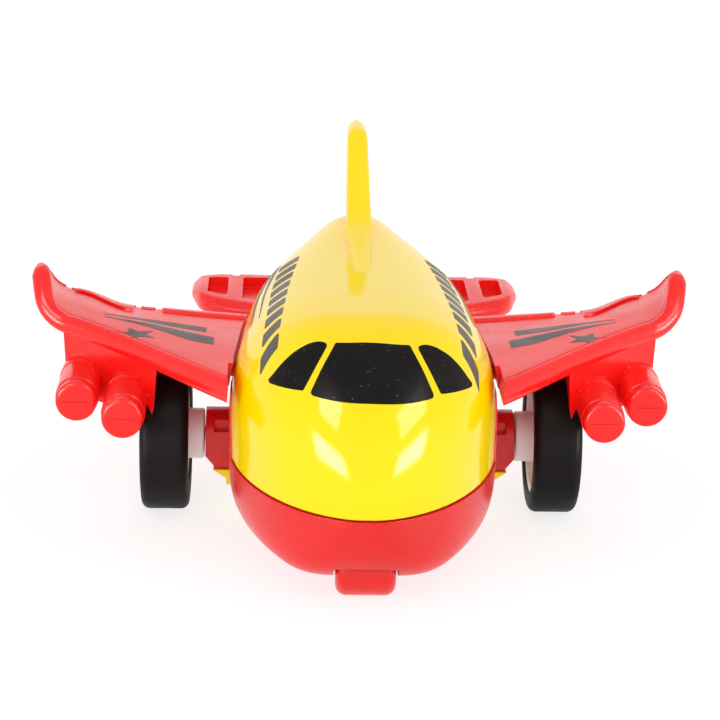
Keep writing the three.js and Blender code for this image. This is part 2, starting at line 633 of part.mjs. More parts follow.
const centres = (a, b) => (a.module * (a.teeth + b.teeth)) / 2 + GEAR_PLAY / 2;
const step = (from, distance, angle) => ({
  y: from.y - distance * Math.cos(angle * RAD),
  z: from.z + distance * Math.sin(angle * RAD),
});
const LAY_ANGLE = 40; // the layshaft sits ahead of the axle, this far above the horizontal
const FLY_ANGLE = 8;
const AXLE = { y: AXLE_Y, z: AXLE_Z };
const LAY = step(AXLE, centres(DRIVE, LAY_PINION), LAY_ANGLE);
const FLY = step(LAY, centres(LAY_WHEEL, FLY_PINION), FLY_ANGLE);

const involute = (angle) => Math.tan(angle) - angle;

// Involute spur gear outline; `facing` is the direction, in degrees, in which a tooth points.
function gearOutline({ teeth, module }, facing) {
  const pitch = (module * teeth) / 2;
  const pressure = MOTOR.pressure * RAD;
  const base = pitch * Math.cos(pressure);
  const tip = pitch + 0.9 * module;
  const root = pitch - 1.2 * module;
  const halfAt = (r) => Math.PI / (2 * teeth) - GEAR_PLAY / (2 * pitch) + involute(pressure)
    - involute(Math.acos(Math.min(base / Math.max(r, base), 1)));
  const flank = [root, tip];
  const points = [];
  for (let i = 0; i < teeth; i += 1) {
    const middle = facing * RAD + (i * 2 * Math.PI) / teeth;
    const spots = [...flank.map((r) => [r, middle - halfAt(r)]),
      ...flank.map((r) => [r, middle + halfAt(r)]).reverse()];
    points.push(...spots.map(([r, angle]) => [r * Math.cos(angle), r * Math.sin(angle)]));
  }
  return points;
}

function gear(size, facing, centre, from, to) {
  const outline = gearOutline(size, facing).map(([y, z]) => [centre.y + y, centre.z + z]);
  return plate(outline, from, to);
}

const halfTooth = (size) => 180 / size.teeth;
const TOWARDS_LAY = 180 - LAY_ANGLE;
const TOWARDS_FLY = 180 - FLY_ANGLE;

function driveGear() {
  const teeth = gear(DRIVE, TOWARDS_LAY, AXLE, -7.5, -4.5);
  const hub = rodX(3.4, -9, -4.5, AXLE_Y, AXLE_Z);
  return cut(join(teeth, hub), rodX(AXLE_RADIUS + FIT, -20, 20, AXLE_Y, AXLE_Z));
}

function compoundGear() {
  const pinion = gear(LAY_PINION, TOWARDS_LAY + 180 + halfTooth(LAY_PINION), LAY, -8, -3.4);
  const wheel = gear(LAY_WHEEL, TOWARDS_FLY, LAY, -3.5, -1.7);
  const hub = rodX(2.2, -2, -0.4, LAY.y, LAY.z, 20);
  return cut(join(pinion, wheel, hub), rodX(SHAFT_RADIUS + FIT, -20, 20, LAY.y, LAY.z, 16));
}

function flywheelPinion() {
  const teeth = gear(FLY_PINION, TOWARDS_FLY + 180 + halfTooth(FLY_PINION), FLY, -4.2, 0.3);
  return cut(teeth, rodX(SHAFT_RADIUS + FIT, -20, 20, FLY.y, FLY.z, 16));
}

function flywheel() {
  const { radius, from, to } = FLYWHEEL;
  const bore = SHAFT_RADIUS + FIT;
  return turnedX([[bore, from], [radius - 0.5, from], [radius, from + 0.5], [radius, to - 0.5],
    [radius - 0.5, to], [radius - 2, to], [radius - 2.6, to - 1], [3.4, to - 1], [2.8, to], [bore, to],
    [bore, from]], FLY.y, FLY.z, 20);
}

// The outline of a belt pulled around circles, as the convex hull of points on them.
function beltOutline(circles) {
  const points = circles.flatMap(({ y, z, r }) => Array.from({ length: 20 }, (_, i) => {
    const angle = (i / 20) * 2 * Math.PI;
    return [y + r * Math.cos(angle), z + r * Math.sin(angle)];
  }));
  points.sort((a, b) => a[0] - b[0] || a[1] - b[1]);
  const turn = (a, b, c) => (b[0] - a[0]) * (c[1] - a[1]) - (b[1] - a[1]) * (c[0] - a[0]);
  const chain = (list) => list.reduce((kept, point) => {
    while (kept.length > 1 && turn(kept.at(-2), kept.at(-1), point) <= 1e-9) kept.pop();
    kept.push(point);
    return kept;
  }, []);
  const lower = chain(points);
  const upper = chain([...points].reverse());
  return [...lower.slice(0, -1), ...upper.slice(0, -1)];
}

const CASE_CIRCLES = [{ ...AXLE, r: 8.1 }, { ...LAY, r: 7.9 }, { ...FLY, r: 8.4 }];
const LUGS = [
  { name: 'motor_screw_top', y: -14, z: 32.6 },
  { name: 'motor_screw_bottom', y: -15.8, z: 9.2 },
];

function motorCase(side) {
  const reach = (a, b) => (side > 0 ? [a, b] : [-b, -a]);
  const grown = CASE_CIRCLES.map((circle) => ({ ...circle, r: circle.r + MOTOR.wall }));
  const outside = plate(beltOutline(grown), ...reach(GAP / 2, MOTOR.half));
  const inside = plate(beltOutline(CASE_CIRCLES), ...reach(-1, MOTOR.half - MOTOR.wall));
  const lugs = LUGS.map(({ y, z }) => rodX(2.3, ...reach(GAP / 2, MOTOR.half), y, z, 14));
  const screws = LUGS.map(({ y, z }) => rodX(side > 0 ? SCREW.clearance : SCREW.pilot, -12, 12, y, z, 10));
  const bores = [
    rodX(AXLE_RADIUS + FIT + 0.04, -12, 12, AXLE_Y, AXLE_Z),
    rodX(SHAFT_RADIUS + FIT, -12, 12, LAY.y, LAY.z, 16),
    rodX(SHAFT_RADIUS + FIT, -12, 12, FLY.y, FLY.z, 16),
  ];
  return cut(join(outside, ...lugs), inside, ...screws, ...bores);
}

function motorScrew({ y, z }) {
  const seat = MOTOR.half + 0.1;
  return turnedX([[0, -6], [SCREW.shank, -5], [SCREW.shank, seat], [2.1, seat], [2.1, seat + 0.8],
    [1.7, seat + 1.4], [0, seat + 1.4]], y, z, 10);
}

// ---------------------------------------------------------------- the airplane

const FINISH = {
  yellow: { color: 0xffdc00, roughness: 0.22, metalness: 0 },
  red: { color: 0xe8231c, roughness: 0.28, metalness: 0 },
  black: { color: 0x1c191a, roughness: 0.7, metalness: 0 },
  white: { color: 0xf2eeea, roughness: 0.35, metalness: 0 },
  cream: { color: 0xe4dcc6, roughness: 0.45, metalness: 0 },
  steel: { color: 0xb4b7ba, roughness: 0.3, metalness: 1 },
};

const airplane = new THREE.Group();

function add(name, finish, shape) {
  const mesh = new THREE.Mesh(geometryOf(shape), new THREE.MeshStandardMaterial(FINISH[finish]));
  mesh.name = name;
  airplane.add(mesh);
}

const SIDES = [['left', -1], ['right', 1]];

add('upper_shell', 'yellow', upperShell());
add('lower_chassis', 'red', lowerChassis());
add('axle_cover', 'yellow', axleCover());
add('tailplane', 'red', tailplane());
for (const [side, sign] of SIDES) {
  add(`wing_${side}`, 'red', wing(sign));
  add(`wheel_core_${side}`, 'white', wheelCore(sign));
  add(`tyre_${side}`, 'black', tyre(sign));
  add(`motor_case_${side}`, 'cream', motorCase(sign));
}
add('main_axle', 'steel', rodX(AXLE_RADIUS, -41, 41, AXLE_Y, AXLE_Z));
add('drive_gear', 'white', driveGear());
add('layshaft', 'steel', rodX(SHAFT_RADIUS, -10.5, 10.5, LAY.y, LAY.z, 16));
add('compound_gear', 'white', compoundGear());
add('flywheel_shaft', 'steel', rodX(SHAFT_RADIUS, -10.5, 10.5, FLY.y, FLY.z, 16));
add('flywheel_pinion', 'white', flywheelPinion());
add('flywheel', 'steel', flywheel());
add('nose_wheel', 'red', noseWheel());
add('nose_wheel_pin', 'steel',
  rodX(NOSE_WHEEL.pin, -CHEEK.outer, CHEEK.outer, NOSE_WHEEL.y, NOSE_WHEEL.radius, 16));
BODY_SCREWS.forEach((screw) => add(screw.name, 'steel', screwUp(screw, screw.joint + GRIP)));
COVER_SCREWS.forEach((screw) => add(screw.name, 'steel', screwUp(screw, screw.tip)));
LUGS.forEach((lug) => add(lug.name, 'steel', motorScrew(lug)));

export default airplane;
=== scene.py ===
import math

import bmesh
import bpy
import numpy as np
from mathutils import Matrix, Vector
from mathutils.bvhtree import BVHTree
from mathutils.geometry import delaunay_2d_cdt


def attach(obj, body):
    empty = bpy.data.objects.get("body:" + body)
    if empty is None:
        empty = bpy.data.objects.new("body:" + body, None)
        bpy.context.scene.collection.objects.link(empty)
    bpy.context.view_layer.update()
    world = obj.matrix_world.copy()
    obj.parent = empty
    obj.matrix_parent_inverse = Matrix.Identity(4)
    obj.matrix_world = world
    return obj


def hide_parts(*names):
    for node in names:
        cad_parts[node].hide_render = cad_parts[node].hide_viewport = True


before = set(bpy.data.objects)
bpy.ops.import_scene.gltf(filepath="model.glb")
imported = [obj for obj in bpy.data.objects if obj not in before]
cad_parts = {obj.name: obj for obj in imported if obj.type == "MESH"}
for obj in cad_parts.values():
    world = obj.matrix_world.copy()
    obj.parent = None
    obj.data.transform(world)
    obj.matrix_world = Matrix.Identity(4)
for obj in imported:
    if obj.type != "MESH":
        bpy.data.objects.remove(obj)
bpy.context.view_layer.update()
MM = 0.001
SIDES = (("left", -1), ("right", 1))

# ------------------------------------------------------------------ dimensions

NOSE_Y, TAIL_Y = -59.5, 57.5
HALF_WIDTH, BELLY_Z, SPINE_Z = 25.3, 4.0, 48.8
WALL, GAP, PROUD = 1.6, 0.3, 0.3
CHIN_SEAM_Z, WING_SEAM_Z, SEAM_STEP_Y = 18.0, 30.0, (-26.5, -22.5)
AXLE_Y, AXLE_Z, AXLE_R = -2.5, 15.0, 1.5
WHEEL = dict(radius=15.0, inner=33.5, outer=43.0, rim=11.2, boss=5.0, boss_inner=30.7)
BOX = dict(inner=11.0, wall=24.0, outer=30.4, half=8.0, bottom=10.4, top=20.3, chamfer=2.0)
NOSE = dict(y=-48.5, radius=6.0, half=5.5, shoulder=2.0, pin=1.06)
CHEEK = dict(inner=5.9, outer=8.0, ahead=12.0, behind=8.0)
WING = dict(root_x=18.0, cut_x=25.7, cut_y=-21.0, bend_x=57.5, tip=math.radians(76), bend=6.0,
            rise=5.2, dihedral=math.radians(4.5), root_z=32.6, thick=5.0, tip_thick=3.7)
TONGUE = dict(inner=13.5, start=-13.0, end=15.0, bottom=30.15, top=33.1)
POD_R = 3.95
PODS = (dict(x=45.5, z=25.8, front=-27.0, back=-6.0), dict(x=54.9, z=26.0, front=-17.5, back=2.0))
PYLON = dict(inner=39.4, outer=58.8, bottom=22.0, back=9.0)
TAIL = dict(span=35.0, bottom=27.7, top=31.7, tongue=(34.0, 54.0))
FIN_TOP = 66.2
SCREW_HEAD, SCREW_SHANK, POST = 2.4, 0.98, 3.0
PILOT_HOLE, THROUGH_HOLE = 1.05, 1.3
PRINT_SHIFT, PRINT_LIFT, PRINT_SINK = 0.5, 0.045, 0.05
SCREEN_SHIFT, SCREEN_Z = 0.6, 41
BODY_SCREWS = {
    "body_screw_front_left": (-15, -40, 8, 14), "body_screw_front_right": (15, -40, 8, 14),
    "body_screw_wing_left": (-18, 9.6, 10, 16), "body_screw_wing_right": (18, 9.6, 10, 16),
    "body_screw_tail": (0, 41, 24.5, 28.2),
}
COVER_SCREWS = {"cover_screw_left": (-17.5, 2.1, 5.8, 15), "cover_screw_right": (17.5, 2.1, 5.8, 15)}


# ------------------------------------------------------------------ mesh tools

def curve(*points):
    """Smooth curve through (x, value) points that never overshoots them and is level beyond them."""
    x, v = np.array(points, float).T
    rise = np.diff(v) / np.diff(x)
    slope = np.zeros(len(x))
    slope[0], slope[-1] = rise[0], rise[-1]
    for i in range(1, len(x) - 1):
        product = rise[i - 1] * rise[i]
        slope[i] = 0 if product <= 0 else 2 * product / (rise[i - 1] + rise[i])

    def at(q):
        q = np.clip(np.asarray(q, float), x[0], x[-1])
        i = np.clip(np.searchsorted(x, q, side="right") - 1, 0, len(x) - 2)
        width = x[i + 1] - x[i]
        t = (q - x[i]) / width
        s = 1 - t
        return (v[i] * s * s * (1 + 2 * t) + v[i + 1] * t * t * (1 + 2 * s)
                + slope[i] * width * t * s * s - slope[i + 1] * width * t * t * s)
    return at


def mix(a, b, t):
    return a + (b - a) * t


def new_object(name, points, faces):
    mesh = bpy.data.meshes.new(name)
    mesh.from_pydata([tuple(float(c) * MM for c in p) for p in points], [], faces)
    work = bmesh.new()
    work.from_mesh(mesh)
    bmesh.ops.remove_doubles(work, verts=work.verts, dist=1e-8)
    bmesh.ops.dissolve_degenerate(work, edges=work.edges, dist=1e-9)
    bmesh.ops.recalc_face_normals(work, faces=work.faces)
    work.to_mesh(mesh)
    work.free()
    obj = bpy.data.objects.new(name, mesh)
    bpy.context.scene.collection.objects.link(obj)
    return obj


def loft(rings, name="solid", caps=True):
    """A skin over rings of equally many points, each end closed by a flat fan."""
    rings = np.asarray(rings, float)
    rows, count = rings.shape[:2]
    points = list(rings.reshape(-1, 3))
    faces = []
    for i in range(rows - 1):
        for j in range(count):
            a, b = i * count + j, i * count + (j + 1) % count
            faces.append((a, b, b + count, a + count))
    for row in (0, rows - 1) if caps else ():
        points.append(rings[row].mean(0))
        middle = len(points) - 1
        for j in range(count):
            faces.append((middle, row * count + j, row * count + (j + 1) % count))
    return new_object(name, points, faces)


def prism(outline, axis, low, high):
    """A flat outline pushed out along an axis; the outline gives the other two coordinates in order."""
    flat = np.array(outline, float)
    rings = []
    for level in (low, high):
        rings.append(np.insert(flat, "xyz".index(axis), level, axis=1))
    count = len(flat)
    points = np.vstack(rings)
    faces = [(i, (i + 1) % count, (i + 1) % count + count, i + count) for i in range(count)]
    faces += [tuple(range(count)), tuple(range(count, 2 * count))]
    return new_object("solid", points, faces)


def box(x, y, z):
    return prism([(x[0], y[0]), (x[1], y[0]), (x[1], y[1]), (x[0], y[1])], "z", *z)


def lathe(profile, axis, centre, segments=64, name="solid"):
    """Turned about an axis: the profile is closed (radius, distance along the axis) pairs."""
    profile = list(profile)
    if profile[0] != profile[-1] and profile[0][0] > 0:
        profile.append(profile[0])
    angles = np.arange(segments) / segments * 2 * math.pi
    rings = []
    for radius, along in profile:
        ring = np.zeros((segments, 3))
        k = "xyz".index(axis)
        ring[:, (k + 1) % 3] = radius * np.cos(angles)
        ring[:, (k + 2) % 3] = radius * np.sin(angles)
        ring[:, k] = along
        rings.append(ring + np.array(centre, float))
    return loft(rings, name, caps=False)


def rod(radius, low, high, axis, centre, segments=32):
    return lathe([(0, low), (radius, low), (radius, high), (0, high)], axis, centre, segments)


def boolean(obj, operation, *others):
    """Solid boolean with each of the others, which are used up."""
    for other in others:
        step = obj.modifiers.new("solid", "BOOLEAN")
        step.operation, step.object, step.solver = operation, other, "MANIFOLD"
        graph = bpy.context.evaluated_depsgraph_get()
        mesh = bpy.data.meshes.new_from_object(obj.evaluated_get(graph))
        obj.modifiers.clear()
        obj.data = mesh
        bpy.data.objects.remove(other)
    return obj


def cut(obj, *others):
    return boolean(obj, "DIFFERENCE", *others)


def join(obj, *others):
    return boolean(obj, "UNION", *others)


def within(obj, *others):
    return boolean(obj, "INTERSECT", *others)


def copy_of(obj):
    twin = bpy.data.objects.new("solid", obj.data.copy())
    bpy.context.scene.collection.objects.link(twin)
    return twin


def rounded(corners, radius, steps=5):
    """A polygon whose corners are replaced by arcs, and whose nearly straight corners are smoothed out."""
    out = []
    count = len(corners)
    for i, corner in enumerate(corners):
        here = Vector(corner)
        before = Vector(corners[i - 1]) - here
        after = Vector(corners[(i + 1) % count]) - here
        angle = before.angle(after)
        reach = 0.45 * min(before.length, after.length)
        if angle < math.radians(150):
            reach = min(reach, radius / math.tan(angle / 2))
        start, end = here + before.normalized() * reach, here + after.normalized() * reach
        for k in range(steps + 1):
            t = k / steps
            out.append(tuple((1 - t) ** 2 * start + 2 * t * (1 - t) * here + t * t * end))
    return out


def piece(obj, name, material, body, replaced=(), sharp=32):
    """Names a finished solid, shades it, and puts it on its body in place of its CAD nodes."""
    obj.name = obj.data.name = name
    mesh = obj.data
    mesh.polygons.foreach_set("use_smooth", np.ones(len(mesh.polygons), bool))
    mesh.set_sharp_from_angle(angle=math.radians(sharp))
    mesh.materials.clear()
    mesh.materials.append(material)
    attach(obj, body)
    if replaced:
        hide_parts(*replaced)
    return obj


# ------------------------------------------------------------------ materials

def nodes_of(name):
    material = bpy.data.materials.new(name)
    material.use_nodes = True
    tree = material.node_tree
    return material, tree, tree.nodes["Principled BSDF"]


def add(tree, kind, inputs=None, **settings):
    node = tree.nodes.new(kind)
    for key, value in settings.items():
        setattr(node, key, value)
    for key, value in (inputs or {}).items():
        if isinstance(value, bpy.types.NodeSocket):
            tree.links.new(value, node.inputs[key])
        else:
            node.inputs[key].default_value = value
    return node


def noise(tree, scale, detail=3.0, stretch=(1, 1, 1), rough=0.5):
    place = add(tree, "ShaderNodeTexCoord")
    turn = add(tree, "ShaderNodeMapping", {"Vector": place.outputs["Object"], "Scale": stretch})
    return add(tree, "ShaderNodeTexNoise", {
        "Vector": turn.outputs[0], "Scale": scale, "Detail": detail, "Roughness": rough}).outputs["Fac"]


def remap(tree, value, low, high, to_low, to_high):
    return add(tree, "ShaderNodeMapRange", {
        "Value": value, "From Min": low, "From Max": high, "To Min": to_low, "To Max": to_high}).outputs[0]


def blend_colour(tree, factor, a, b):
    node = add(tree, "ShaderNodeMix", data_type="RGBA")
    tree.links.new(factor, node.inputs["Factor"])
    if isinstance(a, bpy.types.NodeSocket):
        tree.links.new(a, node.inputs["A"])
    else:
        node.inputs["A"].default_value = (*a, 1)
    node.inputs["B"].default_value = (*b, 1)
    return node.outputs["Result"]


def surface(name, base, deep, rough, edge=0.0, bump=0.02, grain=900.0, specular=0.5, metal=0.0,
            scratches=0.0, dust=None, speckle=None):
    """One moulded, cast or drawn finish: drifting colour, uneven gloss, fine relief and soft edges."""
    material, tree, shader = nodes_of(name)
    broad = remap(tree, noise(tree, 32, 3), 0.35, 0.7, 0, 1)
    colour = blend_colour(tree, broad, base, deep)
    fine = noise(tree, grain, 4, rough=0.6)
    gloss = remap(tree, noise(tree, 140, 5), 0.3, 0.75, rough * 0.8, rough * 1.35)
    if scratches:
        lines = noise(tree, 260, 2, stretch=(0.4, 5, 5))
        thin = remap(tree, lines, 0.70, 0.73, 0, 1)
        gloss = add(tree, "ShaderNodeMath", {0: gloss, 1: remap(tree, thin, 0, 1, 0, scratches)},
                    operation="ADD").outputs[0]
        colour = blend_colour(tree, remap(tree, thin, 0, 1, 0, 0.06), colour, dust or deep)
    if dust:
        spots = remap(tree, noise(tree, 420, 6, rough=0.7), 0.62, 0.74, 0, 0.35)
        colour = blend_colour(tree, spots, colour, dust)
    if speckle:
        flecks = remap(tree, noise(tree, 1500, 2), 0.7, 0.73, 0, 0.8)
        colour = blend_colour(tree, flecks, colour, speckle)
    tree.links.new(colour, shader.inputs["Base Color"])
    tree.links.new(gloss, shader.inputs["Roughness"])
    shader.inputs["Metallic"].default_value = metal
    shader.inputs["Specular IOR Level"].default_value = specular
    relief = add(tree, "ShaderNodeBump", {"Strength": bump, "Distance": 0.0002, "Height": fine})
    if edge:
        soft = add(tree, "ShaderNodeBevel", {"Radius": edge * MM}, samples=4)
        tree.links.new(soft.outputs[0], relief.inputs["Normal"])
    tree.links.new(relief.outputs[0], shader.inputs["Normal"])
    return material


YELLOW = surface("yellow_moulding", (1.0, 0.72, 0.0), (0.985, 0.68, 0.0), 0.12, edge=0.2, bump=0.03,
                 grain=420, specular=0.28, scratches=0.10, dust=(1.0, 0.82, 0.12))
RED = surface("red_moulding", (0.98, 0.014, 0.010), (0.88, 0.009, 0.007), 0.24, edge=0.22, bump=0.10,
              grain=650, specular=0.36, scratches=0.12, dust=(1.0, 0.08, 0.06))
# Darker than the wing red: painted shade for the down-facing chin and the roller beneath it; the axle boxes
# share this darker red.
CHASSIS_RED_PAINTED_SHADE = surface("red_chassis_painted_shade", (0.76, 0.012, 0.010), (0.66, 0.009, 0.007), 0.28, edge=0.22, bump=0.12,
                      grain=650, specular=0.36, scratches=0.12, dust=(0.9, 0.07, 0.06))
WHITE = surface("white_wheel", (0.86, 0.84, 0.82), (0.80, 0.77, 0.75), 0.3, edge=0.2, bump=0.06,
                scratches=0.1, dust=(0.6, 0.57, 0.53))
RUBBER = surface("tyre_rubber", (0.009, 0.007, 0.007), (0.006, 0.005, 0.005), 0.5, edge=0.25, bump=0.35,
                 grain=1300, specular=0.1, scratches=0.15, dust=(0.024, 0.021, 0.02))
INK = surface("black_print", (0.007, 0.006, 0.006), (0.010, 0.009, 0.008), 0.3, bump=0.15, grain=1500,
              specular=0.07, dust=(0.03, 0.027, 0.025), speckle=(0.12, 0.11, 0.10))
# A lighter copy of the black print: painted reflection of the white surroundings at grazing angles, used on
# the windows, stripes and stars.
INK_PAINTED_REFLECTION = surface("black_print_painted_reflection", (0.115, 0.10, 0.09), (0.095, 0.08, 0.075), 0.36, bump=0.15, grain=1500,
                   specular=0.15, dust=(0.16, 0.14, 0.13), speckle=(0.3, 0.2, 0.18))
GEAR = surface("gear_plastic", (0.83, 0.81, 0.76), (0.76, 0.73, 0.67), 0.4, edge=0.08, bump=0.08,
               dust=(0.5, 0.47, 0.4))
CASE = surface("case_plastic", (0.76, 0.70, 0.55), (0.68, 0.62, 0.48), 0.5, edge=0.15, bump=0.15,
               scratches=0.1, dust=(0.45, 0.4, 0.32))
STEEL = surface("drawn_steel", (0.52, 0.53, 0.54), (0.42, 0.43, 0.45), 0.28, edge=0.1, bump=0.12,
                grain=1600, metal=1.0, scratches=0.2, dust=(0.3, 0.29, 0.27))
ZINC = surface("plated_screw", (0.56, 0.57, 0.58), (0.40, 0.41, 0.43), 0.33, edge=0.1, bump=0.18,
               grain=1400, metal=1.0, scratches=0.2, dust=(0.28, 0.27, 0.25))

# ------------------------------------------------------------------ fuselage

side_taper = curve((-16, 1), (12.5, 0.92), (42.5, 0.505), (TAIL_Y, 0.17))
spine = curve((-22, SPINE_Z), (17.5, 48.2), (42.5, 48.6), (TAIL_Y, 43.5))
keel = curve((-42, BELLY_Z), (2.5, BELLY_Z + 0.4), (22.5, 10), (42.5, 22), (TAIL_Y, 33))
waist = curve((2.5, 22), (42.5, 33), (TAIL_Y, 38))


def nose_round(y, length, power):
    t = np.clip((y - NOSE_Y) / length, 0, 1)
    return (1 - (1 - t) ** power) ** (1 / power)


def shrink(size, inset):
    return np.maximum(size - inset, 0.8 * size)


def fuselage(inset, stations=120, count=144):
    """The whole fuselage as one solid; a positive inset makes the hollow inside it."""
    t = (np.arange(stations + 1) / stations) ** 1.5
    source = NOSE_Y + np.maximum(t, 0.0004) * (TAIL_Y - NOSE_Y)
    y = NOSE_Y + inset + t * (TAIL_Y - NOSE_Y - 2 * inset)
    end = np.sqrt(1 - 0.9 * np.clip((source - TAIL_Y + 4) / 4, 0, 1) ** 2)
    slim = np.clip((source - 2.5) / 40, 0, 1)
    middle = waist(source)
    width = shrink(HALF_WIDTH * side_taper(source) * nose_round(source, 40, 1.85) * end, inset)
    above = shrink((spine(source) - middle) * nose_round(source, 27.5, 1.78) * end, inset)
    below = shrink((middle - keel(source)) * nose_round(source, 13, 2.25) * end, inset)
    angle = np.arange(count) / count * 2 * math.pi
    c, s = np.cos(angle)[None], np.sin(angle)[None]
    power = np.where(s >= 0, mix(2.9, 2.05, slim)[:, None], mix(5, 2.2, slim)[:, None])
    reach = np.where(s >= 0, above[:, None], below[:, None])
    x = width[:, None] * np.sign(c) * np.abs(c) ** (2 / power)
    z = middle[:, None] + reach * np.sign(s) * np.abs(s) ** (2 / power)
    return loft(np.stack([x, np.repeat(y[:, None], count, 1), z], -1))


def above_seam(lift):
    low, high = CHIN_SEAM_Z + lift, WING_SEAM_Z + lift
    return prism([(-80, low), (SEAM_STEP_Y[0], low), (SEAM_STEP_Y[1], high), (80, high), (80, 80), (-80, 80)],
                 "x", -80, 80)


OUTER = fuselage(0)
SKIN = copy_of(OUTER)
HOLLOW = fuselage(WALL, 60, 80)
AROUND = fuselage(-GAP - PROUD, 90, 120)
WITHIN = fuselage(WALL / 2, 60, 80)

fin_leading = curve((44, -8), (48, -5), (50.6, 21), (52.2, 27), (FIN_TOP - 2, 46), (FIN_TOP, 49))
fin_trailing = curve((44, 55.5), (52, 57.3), (FIN_TOP - 2, 59.2), (FIN_TOP, 58))


def fin_ring(z, inset, count=26):
    lead, trail = float(fin_leading(z)) + inset, float(fin_trailing(z)) - inset
    depth = min(max((FIN_TOP - inset - z) / 2.2, 0.02), 1)
    crown = (1 - (1 - depth) ** 2.4) ** (1 / 2.4)
    chord = curve((0, 0.25), (0.7, 0.75), (2, 1), (0.45 * (trail - lead), 1), (0.8 * (trail - lead), 0.95),
                  (trail - lead - 1, 0.75), (trail - lead, 0.3))
    u = np.linspace(0, 1, count)
    along = (trail - lead) * (u - 0.12 * np.sin(2 * math.pi * u))
    y = lead + along
    wedge = mix(1.25, 2.6, np.clip((y + 4) / 24, 0, 1))
    body = mix(2.6, 2.05, np.clip((z - 50) / 16, 0, 1))
    thick = (np.minimum(wedge, body) - 0.85 * inset) * crown * chord(along)
    right = np.stack([thick, y, np.full(count, z)], -1)
    return np.vstack([right, right[::-1] * (-1, 1, 1)])


def fin(inset):
    levels = np.concatenate([np.linspace(44, 64.4, 48), np.linspace(64.6, FIN_TOP - 0.06, 16)])
    levels = [z for z in levels if z < FIN_TOP - 2 * inset]
    rings = [fin_ring(z, inset) for z in levels]
    if inset:
        rings.insert(0, rings[0] * (1, 1, 0) + (0, 0, 40))
    return loft(rings)


def post_for(x, y, seat, joint):
    post = within(rod(POST, joint + GAP / 2, SPINE_Z, "z", (x, y, 0)), copy_of(WITHIN))
    return cut(post, rod(PILOT_HOLE, joint - 1, joint + 9, "z", (x, y, 0), 20))


def wing_slot(side):
    x = (TONGUE["inner"] - 2, 30) if side > 0 else (-30, 2 - TONGUE["inner"])
    return box(x, (TONGUE["start"] - GAP, TONGUE["end"] + GAP), (WING_SEAM_Z - 1, TONGUE["top"] + GAP))


def tail_slot():
    return box((-30, 30), (TAIL["tongue"][0] - GAP, TAIL["tongue"][1] + GAP),
               (TAIL["bottom"] + 0.6 - GAP, TAIL["top"] - 0.6 + GAP))


def upper_shell():
    shell = join(OUTER, fin(0))
    shell = cut(shell, copy_of(HOLLOW), cut(fin(1.3), box((-9, 9), (-12, 24), (0, 80))))
    shell = within(shell, above_seam(GAP / 2))
    shell = cut(shell, wing_slot(1), wing_slot(-1), tail_slot())
    return join(shell, *[post_for(*screw) for screw in BODY_SCREWS.values()])


piece(upper_shell(), "upper_shell_moulding", YELLOW, "airframe", ["upper_shell"], 26)


def span(side, low, high):
    return (low, high) if side > 0 else (-high, -low)


def axle_box(side):
    inner, wall, outer, half = BOX["inner"], BOX["wall"], BOX["outer"], BOX["half"]
    bottom, top, chamfer = BOX["bottom"], BOX["top"], BOX["chamfer"]
    inside = box(span(side, inner - 1, wall), (AXLE_Y - half, AXLE_Y + half), (bottom - 1, top))
    outline = rounded([(wall - 1, bottom - 1), (outer - chamfer - 1, bottom - 1), (outer, bottom + chamfer),
                       (outer, top), (wall - 1, top)], 0.5)
    outside = prism([(side * x, z) for x, z in outline], "y", AXLE_Y - half, AXLE_Y + half)
    radius = top - AXLE_Z
    arch = [(AXLE_Y + radius * math.cos(a), AXLE_Z + radius * math.sin(a))
            for a in np.linspace(0, math.pi, 25)]
    arch = [(AXLE_Y - half, bottom - 1), (AXLE_Y + half, bottom - 1)] + arch
    return join(inside, within(outside, prism(arch, "x", *span(side, wall - 1, outer))))


def lower_chassis():
    below = cut(fuselage(-PROUD), above_seam(-GAP / 2), copy_of(HOLLOW))
    cheeks = within(box((-CHEEK["outer"], CHEEK["outer"]),
                        (NOSE["y"] - CHEEK["ahead"], NOSE["y"] + CHEEK["behind"]),
                        (0, 2 * NOSE["radius"] + 2.6)), copy_of(WITHIN))
    bosses = [within(rod(POST + 0.6, 0, joint - GAP / 2, "z", (x, y, 0)), copy_of(WITHIN))
              for x, y, seat, joint in BODY_SCREWS.values()]
    whole = join(below, cheeks, axle_box(1), axle_box(-1), *bosses)
    outer, half, bottom = BOX["outer"], BOX["half"], BOX["bottom"]
    width = AXLE_R + 0.1
    bay = NOSE["radius"] + 0.6
    cuts = [
        box((-outer - 1, outer + 1), (AXLE_Y - half - GAP, AXLE_Y + half + GAP), (0, bottom)),
        prism(rounded([(-CHEEK["inner"], NOSE["y"] - bay), (CHEEK["inner"], NOSE["y"] - bay),
                       (CHEEK["inner"], NOSE["y"] + bay), (-CHEEK["inner"], NOSE["y"] + bay)], 0.6),
              "z", -1, 2 * NOSE["radius"] + 1.2),
        rod(NOSE["pin"], -CHEEK["outer"] - 1, CHEEK["outer"] + 1, "x", (0, NOSE["y"], NOSE["radius"])),
        rod(width, -35, 35, "x", (0, AXLE_Y, AXLE_Z)),
        box((-35, 35), (AXLE_Y - width, AXLE_Y + width), (0, AXLE_Z)),
        tail_slot(),
        box((-BOX["inner"], BOX["inner"]), (-31, 8), (BELLY_Z + WALL, 40)),
    ]
    cuts += [rod(PILOT_HOLE, 0, tip + 1, "z", (x, y, 0), 20) for x, y, seat, tip in COVER_SCREWS.values()]
    cuts += [box(span(side, 25.9, 28.7), (AXLE_Y - 9, AXLE_Y - 3.6), (16.9, 19.4)) for side in (1, -1)]
    for x, y, seat, joint in BODY_SCREWS.values():
        cuts += [rod(SCREW_HEAD + 0.3, -1, seat, "z", (x, y, 0), 48),
                 rod(THROUGH_HOLE, -1, joint + 1, "z", (x, y, 0), 24)]
    return cut(whole, *cuts)


# The chassis takes the darker red, painted shade for its down-facing chin.
piece(lower_chassis(), "lower_chassis_moulding", CHASSIS_RED_PAINTED_SHADE, "airframe", ["lower_chassis"],
      26)


